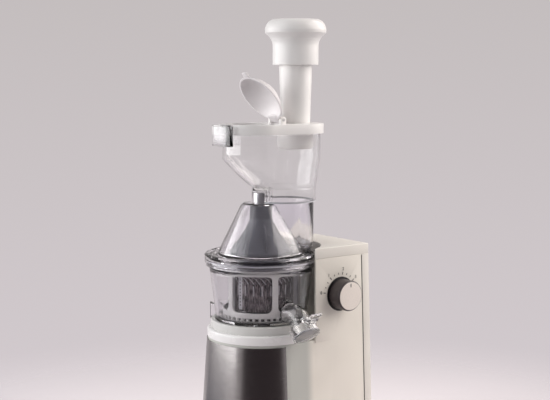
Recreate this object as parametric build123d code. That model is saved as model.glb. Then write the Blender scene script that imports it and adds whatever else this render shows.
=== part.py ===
from build123d import *
from math import acos, asin, cos, pi, radians, sin, tan
import os

# Upright slow juicer. Millimetres, +Z up, front towards -Y, the user's right towards +X.
# Every shape is drawn about the auger axis (x = 0, y = 0) with the counter at z = 0;
# save() then moves it so that the origin is the centre of the footprint's box.

# ---- Driving dimensions: base ----------------------------------------------------------------
COLUMN_TOP_R = 72.0
COLUMN_BASE_R = 85.0
SKIRT_Z = 5.0                # underside of the casing, on the feet
COLUMN_TOP_Z = 198.0
CASE_WALL = 3.0
DECK_WALL = 3.0
TOWER_INSET = 1.0            # top of the tower's cheeks inside the lid's edge
TOWER_FLARE = 3.0            # extra half width at the foot of the tower
TOWER_BACK_TOP = 126.0
TOWER_LEAN = 9.0             # how much further back the foot of the tower is
TOWER_DROP = 4.0             # top of the casing below the lid's ring
TOWER_FRONT_Y = 34.0
TOWER_BOWL_GAP = 4.0         # room between the lid or deck, whichever is wider, and the scoop
CHEEK_LENGTH = 30.0          # from the tower's front to where the column's cheeks end
CHEEK_LAP = 1.0
CAP_HEIGHT = 14.0
COVER_DEPTH = 13.0           # depth of the rear cover at the top
SEAM = 0.6
PANEL_ARC = 152.0            # steel wrap, degrees round the column
PANEL_THICK = 1.2
PANEL_MARGIN = 3.0
PANEL_BOND = 0.1             # adhesive under the wrap
DECK_HEIGHT = 12.0           # shoulder ring on top of the column
DECK_FLOOR = 5.0
DECK_OVERHANG = 0.8
DECK_RIM_WALL = 7.0
NECK_STEP = 3.0              # neck ring inside the top of the column
NECK_WALL = 6.0
NECK_HEIGHT = 11.0
HUB_R = 16.0
HUB_HEIGHT = 13.0
FOOT_R = 12.0
FOOT_TAPER = 1.5
FOOT_INSET = 18.5            # front feet inside the edge of the column's foot
FOOT_ANGLE = 44.0            # front feet, degrees forward of the sides
FOOT_REAR_INSET = 27.0       # rear feet from the back of the tower
BASE_PLATE = 3.0
PLATE_GAP = 0.4
PLATE_INSET = 1.0
AIR_SLOTS = 7
AIR_SLOT_PITCH = 8.0
AIR_SLOT = (4.0, 36.0)
SCREW_R = 2.0
SCREW_HEAD_R = 3.6
SCREW_HEAD = 2.0
SCREW_REACH = 10.0
SCREW_SLOT = 1.0
SCREW_BOSS_R = 6.0
SCREW_BOSS_HEIGHT = 20.0
SCREW_BOSS_LAP = 1.5         # how far each boss stands in the casing wall
SCREW_ANGLE = 32.0           # front screws, degrees forward of the sides
SCREW_REAR_INSET = 47.0      # rear screws from the back of the tower

# ---- Driving dimensions: controls ------------------------------------------------------------
KNOB_R = 20.5
KNOB_LENGTH = 20.0
KNOB_SKIRT = 2.0
KNOB_FACE = 3.0
KNOB_CORNER = 1.6
KNOB_HUB_WALL = 3.0
KNOB_MARK = (5.0, 1.2, 0.4)  # length, width and depth of the index mark
KNOB_MARK_INSET = 3.2
KNOB_Y = 76.0
KNOB_DROP = 50.0             # knob's axis below the top of the casing
KNOB_GAP = 0.4
DIAL_R = 23.0
DIAL_GAP = 0.1
DIAL_THICK = 0.8
SPINDLE_R = 3.0
SPINDLE_SHORT = 8.0          # end of the spindle behind the knob's face
CONTROL_BODY = (16.0, 24.0, 24.0)
CONTROL_GAP = 0.3
BOARD_SIZE = (90.0, 1.6, 90.0)
BOARD_Y = 96.0
BOARD_Z = 90.0
CAPACITOR_R = 11.0
CAPACITOR_LENGTH = 28.0
CAPACITOR_PLACE = (-20.0, 14.0)
HEAT_SINK = (26.0, 12.0, 30.0)
HEAT_SINK_PLACE = (21.0, -7.0)
POST_R = 3.0
POST_INSET = 6.0
INLET_R = 7.0
INLET_LENGTH = 14.0
INLET_FLANGE = 2.5
INLET_FLANGE_THICK = 2.0
INLET_Z = 32.0
CORD_HOLE_R = 3.6

# ---- Driving dimensions: motor and gearbox ---------------------------------------------------
MOTOR_R = 44.0
MOTOR_WALL = 3.0
MAGNET_THICK = 6.0
MAGNET_SPLIT = 12.0          # gap between the two magnets
AIR_GAP = 1.0
BELL_Z = 22.0
BELL_HEIGHT = 12.0
BELL_FLOOR = 4.0
CAN_HEIGHT = 70.0
MOUNT_R = 7.0
MOUNT_PITCH_R = 33.0
MOUNTS = 4
SHAFT_R = 4.0
SHAFT_CLEAR = 1.0            # radial room round a shaft where nothing carries it
BEARING_R = 11.0
BEARING_WIDTH = 7.0
BEARING_WALL = 3.0
RUN_FIT = 0.05               # radial clearance of a shaft in its bearing
SEAT_FIT = 0.1
ROTOR_LENGTH = 46.0
ROTOR_DROP = 4.0             # rotor below the middle of the can, to leave room for the fan
ROTOR_SLOTS = 12
ROTOR_SLOT = 3.0
ROTOR_SLOT_DEPTH = 8.0
FAN_HEIGHT = 6.0
FAN_BLADES = 9
FAN_BLADE = 2.0
FAN_DISC = 1.5
FAN_HUB_WALL = 5.0
FAN_GAP = 5.0
FAN_TIP_GAP = 2.0
GEARBOX_R = 46.0
PLATE_THICK = 6.0
PLATE_LIP = 1.0              # floor left under the upper motor bearing
MODULE = 1.5
SUN_TEETH = 12
PLANET_TEETH = 18
PLANETS = 3
PRESSURE_ANGLE = 20.0
BACKLASH = 0.4               # taken from the thickness of each tooth
ADDENDUM = 0.9
DEDENDUM = 1.25
GEAR_WIDTH = 14.0
CARRIER_THICK = 5.0
CARRIER_R = 27.0
PIN_R = 3.0
STAGE_GAP = 1.0
OUTPUT_R = 8.0
OUTPUT_BEARING_R = 18.0
OUTPUT_BEARING_WIDTH = 10.0
SEAL_HEIGHT = 8.0
SEAL_R = 13.0
HEX_FLATS = 14.0
HEX_REACH = 18.0             # output hexagon above the bowl's hub

# ---- Driving dimensions: bowl, strainer and auger --------------------------------------------
BOWL_FLOOR_R = 61.0
BOWL_RIM_R = 71.0
BOWL_HEIGHT = 79.0
BOWL_WALL = 3.0
BOWL_FLOOR = 3.0
LEDGE_DEPTH = 5.0            # strainer's ledge below the rim
LEDGE_HEIGHT = 3.0
LEDGE_WIDTH = 5.0
LEDGE_HAUNCH = 5.0
BOWL_HUB_R = 12.0
BOWL_HUB_HEIGHT = 13.0
BOWL_HUB_CLEAR = 0.5
SPOUT_R = 14.0
SPOUT_WALL = 2.5
SPOUT_RISE = 16.0            # spout's axis above the bowl's underside
SPOUT_ROOT = 10.0            # start of the spout inside the bowl's outer wall
SPOUT_BEND_X = 80.0
SPOUT_BEND_R = 16.0
SPOUT_DROP = 51.0            # downward angle of the spout's mouth
SPOUT_END = 27.0             # from the bend to the mouth
SPOUT_CAP_R = 18.5
SPOUT_CAP_LENGTH = 9.0       # how far the cap's skirt runs up the spout
SPOUT_CAP_FACE = 3.0
SPOUT_CAP_FIT = 1.0
CAP_SEAL = 1.2
CAP_GAP = 0.3
CAP_PIN_R = 1.5
CAP_PIN_END = 1.0
CAP_EYE_R = 3.4
CAP_EYE_OUT = 4.2            # hinge pin beyond the cap's rim
CAP_EYE_DROP = 1.0           # hinge pin below the end of the cap's skirt
CAP_EAR = 3.0
CAP_EAR_LAP = 3.0
CAP_EAR_GAP = 0.4
CAP_KNUCKLE = 9.0
CAP_ARM = 4.0
CAP_LEVER = (8.0, 16.0, 3.0)
CAP_LEVER_GAP = 2.0
DUCT_HALF = 19.0
DUCT_HEIGHT = 16.0
DUCT_WALL = 3.0
DUCT_REACH = 97.0
MOUTH_LENGTH = 28.0
MOUTH_HEIGHT = 24.0
DUCT_START_X = 20.0
PULP_PORT = (12.0, 20.0)
PULP_PORT_X = 30.0
STRAINER_R = 44.0
STRAINER_WALL = 1.2
STRAINER_RAISE = 10.0        # strainer's floor above the bowl's
STRAINER_FLOOR = 3.0
STRAINER_SLOTS = 30
SLOT_WIDTH = 1.6
SLOT_ROWS = 3
SLOT_HEIGHT = 12.0
STRAINER_HOLE_R = 21.0
BRUSH_ROOM = 8.0             # outside of the brush frame beyond the strainer
BRUSH_WALL = 2.4
BRUSH_TOP_GAP = 1.5
BRUSH_WINDOWS = 5
BRUSH_TURN = -51.0           # direction of the first window
WINDOW_ARC = 63.0
WINDOW_MARGIN = 6.0
WINDOW_CORNER = 8.0
WIPER_THICK = 2.0
WIPER_GAP = 0.6
WIPER_FOOT_GAP = 2.0
WIPER_TOP_GAP = 1.0
DRIVE_TEETH = 24
PINION_TEETH = 14
DRIVE_WIDTH = 6.0
DRIVE_GAP = 0.3
DRIVE_STEM_STEP = 2.0        # auger's stem inside the drive gear's pitch circle
PINION_PIN_R = 3.0
AUGER_GAP = 1.0              # screw's thread inside the strainer
AUGER_LIFT = 2.0             # screw's body above the bowl's hub
AUGER_CORE_LOW_R = 24.0
AUGER_CORE_TOP_R = 33.0
AUGER_SHOULDER_RISE = 2.0    # top of the shoulder above the lid's ring
AUGER_SHOULDER = 14.0
AUGER_CHAMFER = 4.0
AUGER_NECK_R = 15.0
AUGER_NECK_RISE = 42.0
AUGER_FLARE = 1.3            # hollowness of the flare: 1 is a straight cone
AUGER_PIN_R = 6.0
AUGER_PITCH = 48.0
FLIGHT_THICK = 5.0
FLIGHT_LOW = 4.0             # start of the thread above the foot of the screw
FLIGHT_TOP = 3.0
WING_THICK = 4.0
WING_ROOT = 2.0              # how deep the wing stands in the neck
WING_HEIGHT = 40.0
WING_SINK = 4.0
WING_TIP = 4.0
WING_INSET = 0.5
WING_KNEE = (26.0, 17.0)     # bend of the wing's edge: radius, and depth below the neck
WING_TURN = -25.0            # direction of the wing, from the juice spout's side
SOCKET_R = 12.0
SOCKET_FIT = 0.3
SOCKET_ROOM = 2.0            # over the end of the output hexagon
SOCKET_FOOT = 1.0
AUGER_BORE_FIT = 0.6

# ---- Driving dimensions: lid, hopper, cover and pusher ---------------------------------------
LID_RING_LAP = 5.0           # widest ring of the lid beyond the bowl's rim
LID_RING_DROP = 1.0
LID_RING_HEIGHT = 11.0
LID_RING_CORNER = 2.0
LID_RING_WIDTH = 6.0
LID_RING_STEP = 1.5
LID_SKIRT = 6.0              # lid's skirt below the bowl's rim
LID_SKIRT_INSET = 2.0
LID_WALL = 3.0
LID_FIT = 0.5
LID_SEAL = 2.0
PRESS_STEP = 7.0             # lid's inner ring outside the strainer
CONE_STEP = 18.0             # foot of the cone inside the widest ring
CONE_TOP_R = 27.0
CONE_FOOT = (4.0, 1.0)       # flare at the foot of the cone
CONE_HEIGHT = 67.0
ROOF_CORNER = 4.0
BOSS_R = 12.0
BOSS_HEIGHT = 16.0
BOSS_GAP = 1.5
BUSH_WALL = 2.0
BUSH_FOOT = 0.5
CHUTE_Y = 37.0
CHUTE_R = 41.4
CHUTE_ROUND = 14.0
HOPPER_LAP = 2.1             # hopper's neck beyond the lid's chute
HOPPER_SHIFT = 1.0
HOPPER_WALL = 2.6
HOPPER_MOUTH_STEP = 0.5
HOPPER_NECK = 19.0
HOPPER_SCOOP = 40.0
HOPPER_SCOOP_STEPS = 4
HOPPER_SCOOP_CURVE = 1.85    # 1 is a quarter of an ellipse, 2 a straight slope
HOPPER_SCOOP_START = (3.0, 1.0)
HOPPER_HEIGHT = 38.0         # upright wall of the hopper's mouth
HOPPER_SEAL = 2.0
MOUTH_Y = -10.0
MOUTH_R = 43.0
REAR_Y = 43.0
REAR_R = 45.5
LUG_REACH = 12.0
LUG_HALF = 20.0
LUG_HEIGHT = 28.0
LUG_BAR = 2.0
COVER_THICK = 8.0
COVER_LIP = 4.5
COVER_SKIRT = 5.0
COVER_FIT = 0.4
FEED_MARGIN = 5.0
PUSHER_SHIFT = 15.0          # pusher's axis behind the centre of the hopper's rear
PUSHER_TOP_R = 22.4
PUSHER_FOOT_R = 18.6
PUSHER_LENGTH = 113.0
PUSHER_SHOW = 3.0            # foot of the pusher below its sleeve
PUSHER_GAP = 0.7
PUSHER_RUN = 0.3             # running gap of the foot ring in the sleeve
PUSHER_RING = 4.0
PUSHER_PLUG = 14.0
PUSHER_FLOOR = 3.0
PUSHER_WALL = (3.0, 5.0)     # wall of the hollow shaft at its foot and head
SLEEVE_WALL = 2.0
SLEEVE_DROP = 24.0
GRIP_SKIRT_R = 31.0
GRIP_SKIRT = 24.0
GRIP_R = 42.0
GRIP_CROWN = 17.5
GRIP_ROUND = 12.0
GRIP_HEIGHT = 61.0
GRIP_WALL = 3.0
FLAP_MARGIN = 2.0
FLAP_DOME = 19.0
FLAP_THICK = 2.0
FLAP_RIM = 1.5
FLAP_GAP = 1.0
FLAP_OPEN = 51.0
HINGE_LAP = 1.0              # hinge inside the rear edge of the feed mouth
HINGE_RISE = 5.0
HINGE_PIN_R = 2.0
HINGE_PIN_END = 1.0
KNUCKLE_R = 4.4
KNUCKLE_HALF = 9.0
KNUCKLE_GAP = 0.4
FLAP_ARM = 5.0
EAR_WIDTH = 5.0
TAB = (10.0, 7.0, 2.0)       # width, length and thickness of the flap's finger tab
TAB_LAP = 1.5

# ---- Derived places --------------------------------------------------------------------------
CAVITY = 10.0                # how far a cutter passes beyond the face that it opens
LID_RING_R = BOWL_RIM_R + LID_RING_LAP
CONE_BASE_R = LID_RING_R - CONE_STEP
TOWER_HALF_TOP = LID_RING_R - TOWER_INSET
TOWER_HALF_BASE = TOWER_HALF_TOP + TOWER_FLARE
TOWER_BACK_BASE = TOWER_BACK_TOP + TOWER_LEAN
DECK_R = COLUMN_TOP_R + DECK_OVERHANG
SCOOP_R = max(LID_RING_R, DECK_R) + TOWER_BOWL_GAP
NECK_R = COLUMN_TOP_R - NECK_STEP
FRONT_REACH = COLUMN_BASE_R + PANEL_BOND + PANEL_THICK
AUGER_Y = (FRONT_REACH - TOWER_BACK_BASE) / 2
FOOT_REAR_Y = TOWER_BACK_BASE - FOOT_REAR_INSET
SCREW_REAR_Y = TOWER_BACK_BASE - SCREW_REAR_INSET
PLATE_TOP_Z = SKIRT_Z + BASE_PLATE
DECK_TOP_Z = COLUMN_TOP_Z + DECK_HEIGHT
NECK_TOP_Z = DECK_TOP_Z + NECK_HEIGHT

FLOOR_Z = NECK_TOP_Z + BOWL_FLOOR
BOWL_RIM_Z = NECK_TOP_Z + BOWL_HEIGHT
BOWL_HUB_TOP_Z = FLOOR_Z + BOWL_HUB_HEIGHT
HEX_TOP_Z = BOWL_HUB_TOP_Z + HEX_REACH
LEDGE_Z = BOWL_RIM_Z - LEDGE_DEPTH
SPOUT_Z = NECK_TOP_Z + SPOUT_RISE
DUCT_LOW_Z = NECK_TOP_Z - DUCT_HEIGHT
STRAINER_FLOOR_Z = FLOOR_Z + STRAINER_RAISE
BRUSH_R = STRAINER_R + BRUSH_ROOM
BRUSH_RING_TEETH = DRIVE_TEETH + 2 * PINION_TEETH
PINION_ORBIT = MODULE * (DRIVE_TEETH + PINION_TEETH) / 2
DRIVE_Z = FLOOR_Z + DRIVE_GAP
BRUSH_TOP_Z = LEDGE_Z - BRUSH_TOP_GAP

LID_RING_Z = BOWL_RIM_Z - LID_RING_DROP
LID_RING_TOP_Z = LID_RING_Z + LID_RING_HEIGHT
LID_SKIRT_Z = BOWL_RIM_Z - LID_SKIRT
ROOF_Z = LID_RING_TOP_Z + CONE_HEIGHT
BOSS_TOP_Z = ROOF_Z + BOSS_HEIGHT
TOWER_TOP_Z = LID_RING_TOP_Z - TOWER_DROP
CAP_TOP_Z = TOWER_TOP_Z + CAP_HEIGHT
KNOB_Z = TOWER_TOP_Z - KNOB_DROP
AUGER_R = STRAINER_R - STRAINER_WALL - AUGER_GAP
AUGER_BOTTOM_Z = BOWL_HUB_TOP_Z + AUGER_LIFT
AUGER_SHOULDER_Z = LID_RING_TOP_Z + AUGER_SHOULDER_RISE
AUGER_BODY_TOP_Z = AUGER_SHOULDER_Z - AUGER_SHOULDER
AUGER_NECK_Z = AUGER_SHOULDER_Z + AUGER_NECK_RISE
WING_TOP_Z = AUGER_SHOULDER_Z + WING_HEIGHT

HOPPER_Y = CHUTE_Y + HOPPER_SHIFT
HOPPER_R = CHUTE_R + HOPPER_LAP
HOPPER_NECK_Z = ROOF_Z + HOPPER_NECK
HOPPER_MOUTH_Z = HOPPER_NECK_Z + HOPPER_SCOOP
HOPPER_TOP_Z = HOPPER_MOUTH_Z + HOPPER_HEIGHT
COVER_TOP_Z = HOPPER_TOP_Z + COVER_THICK
FEED_R = MOUTH_R - FEED_MARGIN
FLAP_R = FEED_R - FLAP_MARGIN
HINGE_Y = MOUTH_Y + FEED_R - HINGE_LAP
HINGE_Z = COVER_TOP_Z + HINGE_RISE
PUSHER_Y = REAR_Y + PUSHER_SHIFT
SLEEVE_Z = HOPPER_TOP_Z - SLEEVE_DROP
PUSHER_FOOT_Z = SLEEVE_Z - PUSHER_SHOW
KNOB_BASE_Z = PUSHER_FOOT_Z + PUSHER_LENGTH
KNOB_TOP_Z = KNOB_BASE_Z + GRIP_HEIGHT

SUN_R = MODULE * SUN_TEETH / 2
PLANET_R = MODULE * PLANET_TEETH / 2
RING_TEETH = SUN_TEETH + 2 * PLANET_TEETH
PLANET_ORBIT = SUN_R + PLANET_R
CAN_TOP_Z = BELL_Z + BELL_HEIGHT + CAN_HEIGHT
GEAR_BASE_Z = CAN_TOP_Z + PLATE_THICK
FIRST_Z = GEAR_BASE_Z + STAGE_GAP
FIRST_CARRIER_Z = FIRST_Z + GEAR_WIDTH + STAGE_GAP
SECOND_Z = FIRST_CARRIER_Z + CARRIER_THICK + STAGE_GAP
SECOND_CARRIER_Z = SECOND_Z + GEAR_WIDTH + STAGE_GAP
GEAR_LID_Z = SECOND_CARRIER_Z + CARRIER_THICK + STAGE_GAP
GEAR_LID_TOP_Z = COLUMN_TOP_Z - DECK_WALL

# Slopes of the drafted walls, per millimetre of height.
DRAFT = (COLUMN_BASE_R - COLUMN_TOP_R) / (COLUMN_TOP_Z - SKIRT_Z)
SPREAD = TOWER_FLARE / (TOWER_TOP_Z - SKIRT_Z)
LEAN = TOWER_LEAN / (TOWER_TOP_Z - SKIRT_Z)


# ---- Plain solids ----------------------------------------------------------------------------
def cyl(r, z0, z1, x=0.0, y=0.0):
    return Pos(x, y, (z0 + z1) / 2) * Cylinder(r, z1 - z0)


def cone(r0, r1, z0, z1, x=0.0, y=0.0):
    return Pos(x, y, (z0 + z1) / 2) * Cone(r0, r1, z1 - z0)


def ring(r_out, r_in, z0, z1, x=0.0, y=0.0):
    return cyl(r_out, z0, z1, x, y) - cyl(r_in, z0 - 1, z1 + 1, x, y)


def box(x0, x1, y0, y1, z0, z1):
    return Pos((x0 + x1) / 2, (y0 + y1) / 2, (z0 + z1) / 2) * Box(x1 - x0, y1 - y0, z1 - z0)


def turned(points, x=0.0, y=0.0):
    """Solid of revolution from (radius, height) points."""
    face = make_face(Plane.XZ * Polyline(*points, close=True))
    return Pos(x, y, 0) * revolve(face, Axis.Z)


def around(shape, count, start=0.0):
    """The same solid repeated round the auger axis."""
    return [Rot(0, 0, start + 360 * i / count) * shape for i in range(count)]


def hull_face(z, y0, r0, y1, r1):
    """Outline of two circles on the centre plane and their common tangents."""
    lean = asin((r1 - r0) / (y1 - y0))
    c, s = cos(lean), sin(lean)
    right0 = (r0 * c, y0 - r0 * s)
    right1 = (r1 * c, y1 - r1 * s)
    left0 = (-right0[0], right0[1])
    left1 = (-right1[0], right1[1])
    edges = [
        Line(right0, right1),
        ThreePointArc(right1, (0, y1 + r1), left1),
        Line(left1, left0),
        ThreePointArc(left0, (0, y0 - r0), right0),
    ]
    return Pos(0, 0, z) * make_face(Curve() + edges)


def hull(z0, z1, y0, r0, y1, r1):
    return extrude(hull_face(z0, y0, r0, y1, r1), z1 - z0, dir=(0, 0, 1))


def column_r(z):
    """Outside radius of the drafted column at height z."""
    return COLUMN_BASE_R - DRAFT * (z - SKIRT_Z)


def cheek_x(z):
    """Outside half width of the drafted casing at height z."""
    return TOWER_HALF_BASE - SPREAD * (z - SKIRT_Z)


def back_y(z):
    """Outside of the drafted back at height z."""
    return TOWER_BACK_BASE - LEAN * (z - SKIRT_Z)


# ---- Gears -----------------------------------------------------------------------------------
def involute(base_r, r):
    """Involute function at radius r; a flank runs straight in below its base circle."""
    angle = acos(min(1.0, base_r / r))
    return tan(angle) - angle


def tooth_outline(teeth, tip, root, slack):
    """Gear outline with its first tooth centred on +X; slack thins each tooth."""
    pitch_r = MODULE * teeth / 2
    base_r = pitch_r * cos(radians(PRESSURE_ANGLE))
    at_pitch = (MODULE * pi / 2 - slack) / 2 / pitch_r + involute(base_r, pitch_r)
    levels = [root] + [r for r in (base_r,) if r > root] + [pitch_r, tip]
    flank = [(r, at_pitch - involute(base_r, r)) for r in levels]
    points = []
    for i in range(teeth):
        middle = 2 * pi * i / teeth
        for r, half in [(r, -half) for r, half in flank] + flank[::-1]:
            points.append((r * cos(middle + half), r * sin(middle + half)))
    return points


def gear(teeth, z0, width, bore, turn=0.0):
    pitch_r = MODULE * teeth / 2
    outline = tooth_outline(teeth, pitch_r + ADDENDUM * MODULE, pitch_r - DEDENDUM * MODULE, BACKLASH)
    body = extrude(make_face(Polyline(*outline, close=True)), width, dir=(0, 0, 1))
    body = Pos(0, 0, z0) * Rot(0, 0, turn) * body
    return body - cyl(bore, z0 - 1, z0 + width + 1) if bore else body


def inner_gear(teeth, z0, z1, r_out):
    """Ring whose inner teeth leave the space of a gear with as many teeth."""
    pitch_r = MODULE * teeth / 2
    outline = tooth_outline(teeth, pitch_r + DEDENDUM * MODULE, pitch_r - ADDENDUM * MODULE, -BACKLASH)
    space = extrude(make_face(Polyline(*outline, close=True)), z1 - z0 + 2, dir=(0, 0, 1))
    return cyl(r_out, z0, z1) - Pos(0, 0, z0 - 1) * Rot(0, 0, 180 / teeth) * space


# ---- Base casing -----------------------------------------------------------------------------
def tower_face(z, half, back, front):
    return Pos(0, (front + back) / 2, z) * Rectangle(2 * half, back - front)


def casing(inset):
    """Column, side cheeks and tower as one solid, set in by the wall thickness."""
    low, high = SKIRT_Z + (inset and -CAVITY), COLUMN_TOP_Z - (inset and DECK_WALL)
    top = TOWER_TOP_Z + (inset and CAVITY)
    cheek_y = TOWER_FRONT_Y + CHEEK_LENGTH

    def cheek(z):
        r, half = column_r(z) - inset, cheek_x(z) - inset
        edge = [(-r, 0), (r, 0), (half, cheek_y), (-half, cheek_y)]
        return Pos(0, 0, z) * make_face(Polyline(*edge, close=True))

    def block(z, front):
        return tower_face(z, cheek_x(z) - inset, back_y(z) - inset, front)

    column = cone(column_r(low) - inset, column_r(high) - inset, low, high)
    cheeks = loft([cheek(low), cheek(high)], ruled=True)
    rear = loft([block(z, cheek_y - CHEEK_LAP) for z in (low, high)], ruled=True)
    tower_base = high - (0 if inset else DECK_WALL)
    tower = loft([block(z, TOWER_FRONT_Y + inset) for z in (tower_base, top)], ruled=True)
    tower -= cyl(SCOOP_R + inset, COLUMN_TOP_Z - (inset and DECK_WALL), top + 1)
    return column + cheeks + rear + tower


def casing_shell():
    shell = casing(0) - casing(CASE_WALL)
    deck_hole = cyl(OUTPUT_BEARING_R, COLUMN_TOP_Z - DECK_WALL - 1, COLUMN_TOP_Z + 1)
    return shell - deck_hole - knob_place() * Cylinder(SPINDLE_R + SHAFT_CLEAR, 2 * CAVITY)


def seam_y(z):
    """Seam between the casing and its rear cover, parallel to the drafted back."""
    return back_y(z) - COVER_DEPTH


def behind_seam(shift):
    half, back = TOWER_HALF_BASE + CAVITY, TOWER_BACK_BASE + CAVITY
    levels = (SKIRT_Z - CAVITY, TOWER_TOP_Z + CAVITY)
    return loft([tower_face(z, half, back, seam_y(z) + shift) for z in levels], ruled=True)


def board_posts():
    width, thick, height = BOARD_SIZE
    side, rise = width / 2 - POST_INSET, height / 2 - POST_INSET
    posts = []
    for x in (-side, side):
        for z in (BOARD_Z - rise, BOARD_Z + rise):
            front, back = BOARD_Y + thick, back_y(z) - CASE_WALL / 2
            posts.append(Pos(x, (front + back) / 2, z) * Rot(90, 0, 0) * Cylinder(POST_R, back - front))
    return posts


def inlet_place():
    return Pos(0, back_y(INLET_Z), INLET_Z) * Rot(-90, 0, 0)


def main_housing(shell):
    front = shell - behind_seam(0) + screw_bosses()
    return front - screw_holes()


def rear_cover(shell):
    cover = (shell & behind_seam(SEAM)) + board_posts()
    return cover - inlet_place() * Cylinder(INLET_R + SEAT_FIT, 2 * INLET_LENGTH)


def cord_inlet():
    """Grommet in the rear cover, with a flange against its outside."""
    sleeve = Cylinder(INLET_R, INLET_LENGTH)
    flange_z = LEAN * (INLET_R + INLET_FLANGE) + SEAT_FIT + INLET_FLANGE_THICK / 2
    flange = Pos(0, 0, flange_z) * Cylinder(INLET_R + INLET_FLANGE, INLET_FLANGE_THICK)
    return inlet_place() * (sleeve + flange - Cylinder(CORD_HOLE_R, INLET_LENGTH + 2))


def tower_cap():
    top = box(-TOWER_HALF_TOP, TOWER_HALF_TOP, TOWER_FRONT_Y, TOWER_BACK_TOP, TOWER_TOP_Z, CAP_TOP_Z)
    top -= cyl(SCOOP_R, TOWER_TOP_Z - 1, CAP_TOP_Z + 1)
    inside = box(-TOWER_HALF_TOP + CASE_WALL, TOWER_HALF_TOP - CASE_WALL, TOWER_FRONT_Y + CASE_WALL,
                 TOWER_BACK_TOP - CASE_WALL, TOWER_TOP_Z - 1, CAP_TOP_Z - CASE_WALL)
    inside -= cyl(SCOOP_R + CASE_WALL, TOWER_TOP_Z - 2, CAP_TOP_Z)
    return top - inside


def front_panel():
    z0, z1 = SKIRT_Z + PANEL_MARGIN, COLUMN_TOP_Z - PANEL_MARGIN
    low, high = column_r(z0) + PANEL_BOND, column_r(z1) + PANEL_BOND
    strip = [(low, z0), (low + PANEL_THICK, z0), (high + PANEL_THICK, z1), (high, z1)]
    face = make_face(Plane.XZ * Polyline(*strip, close=True))
    return Rot(0, 0, -90 - PANEL_ARC / 2) * revolve(face, Axis.Z, PANEL_ARC)


def duct_notch(z0, z1):
    half = DUCT_HALF + PLATE_GAP
    return box(-DUCT_REACH, -DUCT_START_X, -half, half, z0, z1)


def base_deck():
    """Shoulder on the column: tray with a rim, and the hub that holds the shaft seal."""
    tray = cyl(DECK_R, COLUMN_TOP_Z, DECK_TOP_Z)
    tray -= cyl(DECK_R - DECK_RIM_WALL, COLUMN_TOP_Z + DECK_FLOOR, DECK_TOP_Z + 1)
    hub = cyl(HUB_R, COLUMN_TOP_Z, COLUMN_TOP_Z + HUB_HEIGHT)
    deck = tray + hub - cyl(OUTPUT_R + SHAFT_CLEAR, COLUMN_TOP_Z - 1, NECK_TOP_Z)
    deck -= cyl(SEAL_R + SEAT_FIT, COLUMN_TOP_Z + HUB_HEIGHT - SEAL_HEIGHT, NECK_TOP_Z)
    return deck - duct_notch(COLUMN_TOP_Z + DECK_FLOOR, DECK_TOP_Z + 1)


def neck_ring():
    band = ring(NECK_R, NECK_R - NECK_WALL, DECK_TOP_Z, NECK_TOP_Z)
    return band - duct_notch(DECK_TOP_Z - 1, NECK_TOP_Z + 1)


def foot_places():
    r, turn = COLUMN_BASE_R - FOOT_INSET, radians(FOOT_ANGLE)
    x, front = r * cos(turn), -r * sin(turn)
    return [(-x, front), (x, front), (-x, FOOT_REAR_Y), (x, FOOT_REAR_Y)]


def screw_places():
    """Four bosses that grow out of the casing wall."""
    inset = CASE_WALL + SCREW_BOSS_R - SCREW_BOSS_LAP
    r, turn = column_r(SKIRT_Z) - inset, radians(SCREW_ANGLE)
    x, front = r * cos(turn), -r * sin(turn)
    rear_x = TOWER_HALF_BASE - inset
    return [(-x, front), (x, front), (-rear_x, SCREW_REAR_Y), (rear_x, SCREW_REAR_Y)]


def screw_bosses():
    bosses = []
    for x, y in screw_places():
        post = cyl(SCREW_BOSS_R, PLATE_TOP_Z, PLATE_TOP_Z + SCREW_BOSS_HEIGHT, x, y)
        bosses.append(post & casing(CASE_WALL / 2))
    return bosses


def screw_holes():
    top = PLATE_TOP_Z + SCREW_REACH + 1
    return [cyl(SCREW_R, SKIRT_Z, top, x, y) for x, y in screw_places()]


def mount_places():
    spots = [2 * pi * (i + 0.5) / MOUNTS for i in range(MOUNTS)]
    return [(MOUNT_PITCH_R * cos(a), MOUNT_PITCH_R * sin(a)) for a in spots]


def bottom_cover():
    """Flat plate inside the casing's skirt, with air slots under the motor."""
    inset = CASE_WALL + PLATE_GAP + PLATE_INSET
    half, back = TOWER_HALF_BASE - inset, TOWER_BACK_BASE - inset
    plate = cyl(COLUMN_BASE_R - inset, SKIRT_Z, PLATE_TOP_Z) + box(-half, half, 0, back, SKIRT_Z, PLATE_TOP_Z)
    width, length = AIR_SLOT
    for i in range(AIR_SLOTS):
        x = AIR_SLOT_PITCH * (i - (AIR_SLOTS - 1) / 2)
        plate -= box(x - width / 2, x + width / 2, -length / 2, length / 2, SKIRT_Z - 1, PLATE_TOP_Z + 1)
    for x, y in screw_places():
        plate -= cyl(SCREW_R + SEAT_FIT, SKIRT_Z - 1, PLATE_TOP_Z + 1, x, y)
    return plate


def feet():
    return Part() + [cone(FOOT_R - FOOT_TAPER, FOOT_R, 0, SKIRT_Z, x, y) for x, y in foot_places()]


def cover_screws():
    screws = []
    half = SCREW_SLOT / 2
    for x, y in screw_places():
        head = cyl(SCREW_HEAD_R, SKIRT_Z - SCREW_HEAD, SKIRT_Z, x, y)
        slot = box(x - SCREW_HEAD_R, x + SCREW_HEAD_R, y - half, y + half, 0, SKIRT_Z - SCREW_HEAD / 2)
        screws.append(head - slot + cyl(SCREW_R, SKIRT_Z, PLATE_TOP_Z + SCREW_REACH, x, y))
    return Part() + screws


# ---- Controls --------------------------------------------------------------------------------
def knob_place():
    """Frame on the right cheek under the dial's lowest point, its Z along the knob's axis."""
    return Pos(cheek_x(KNOB_Z - DIAL_R), KNOB_Y, KNOB_Z) * Rot(0, 90, 0)


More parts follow.
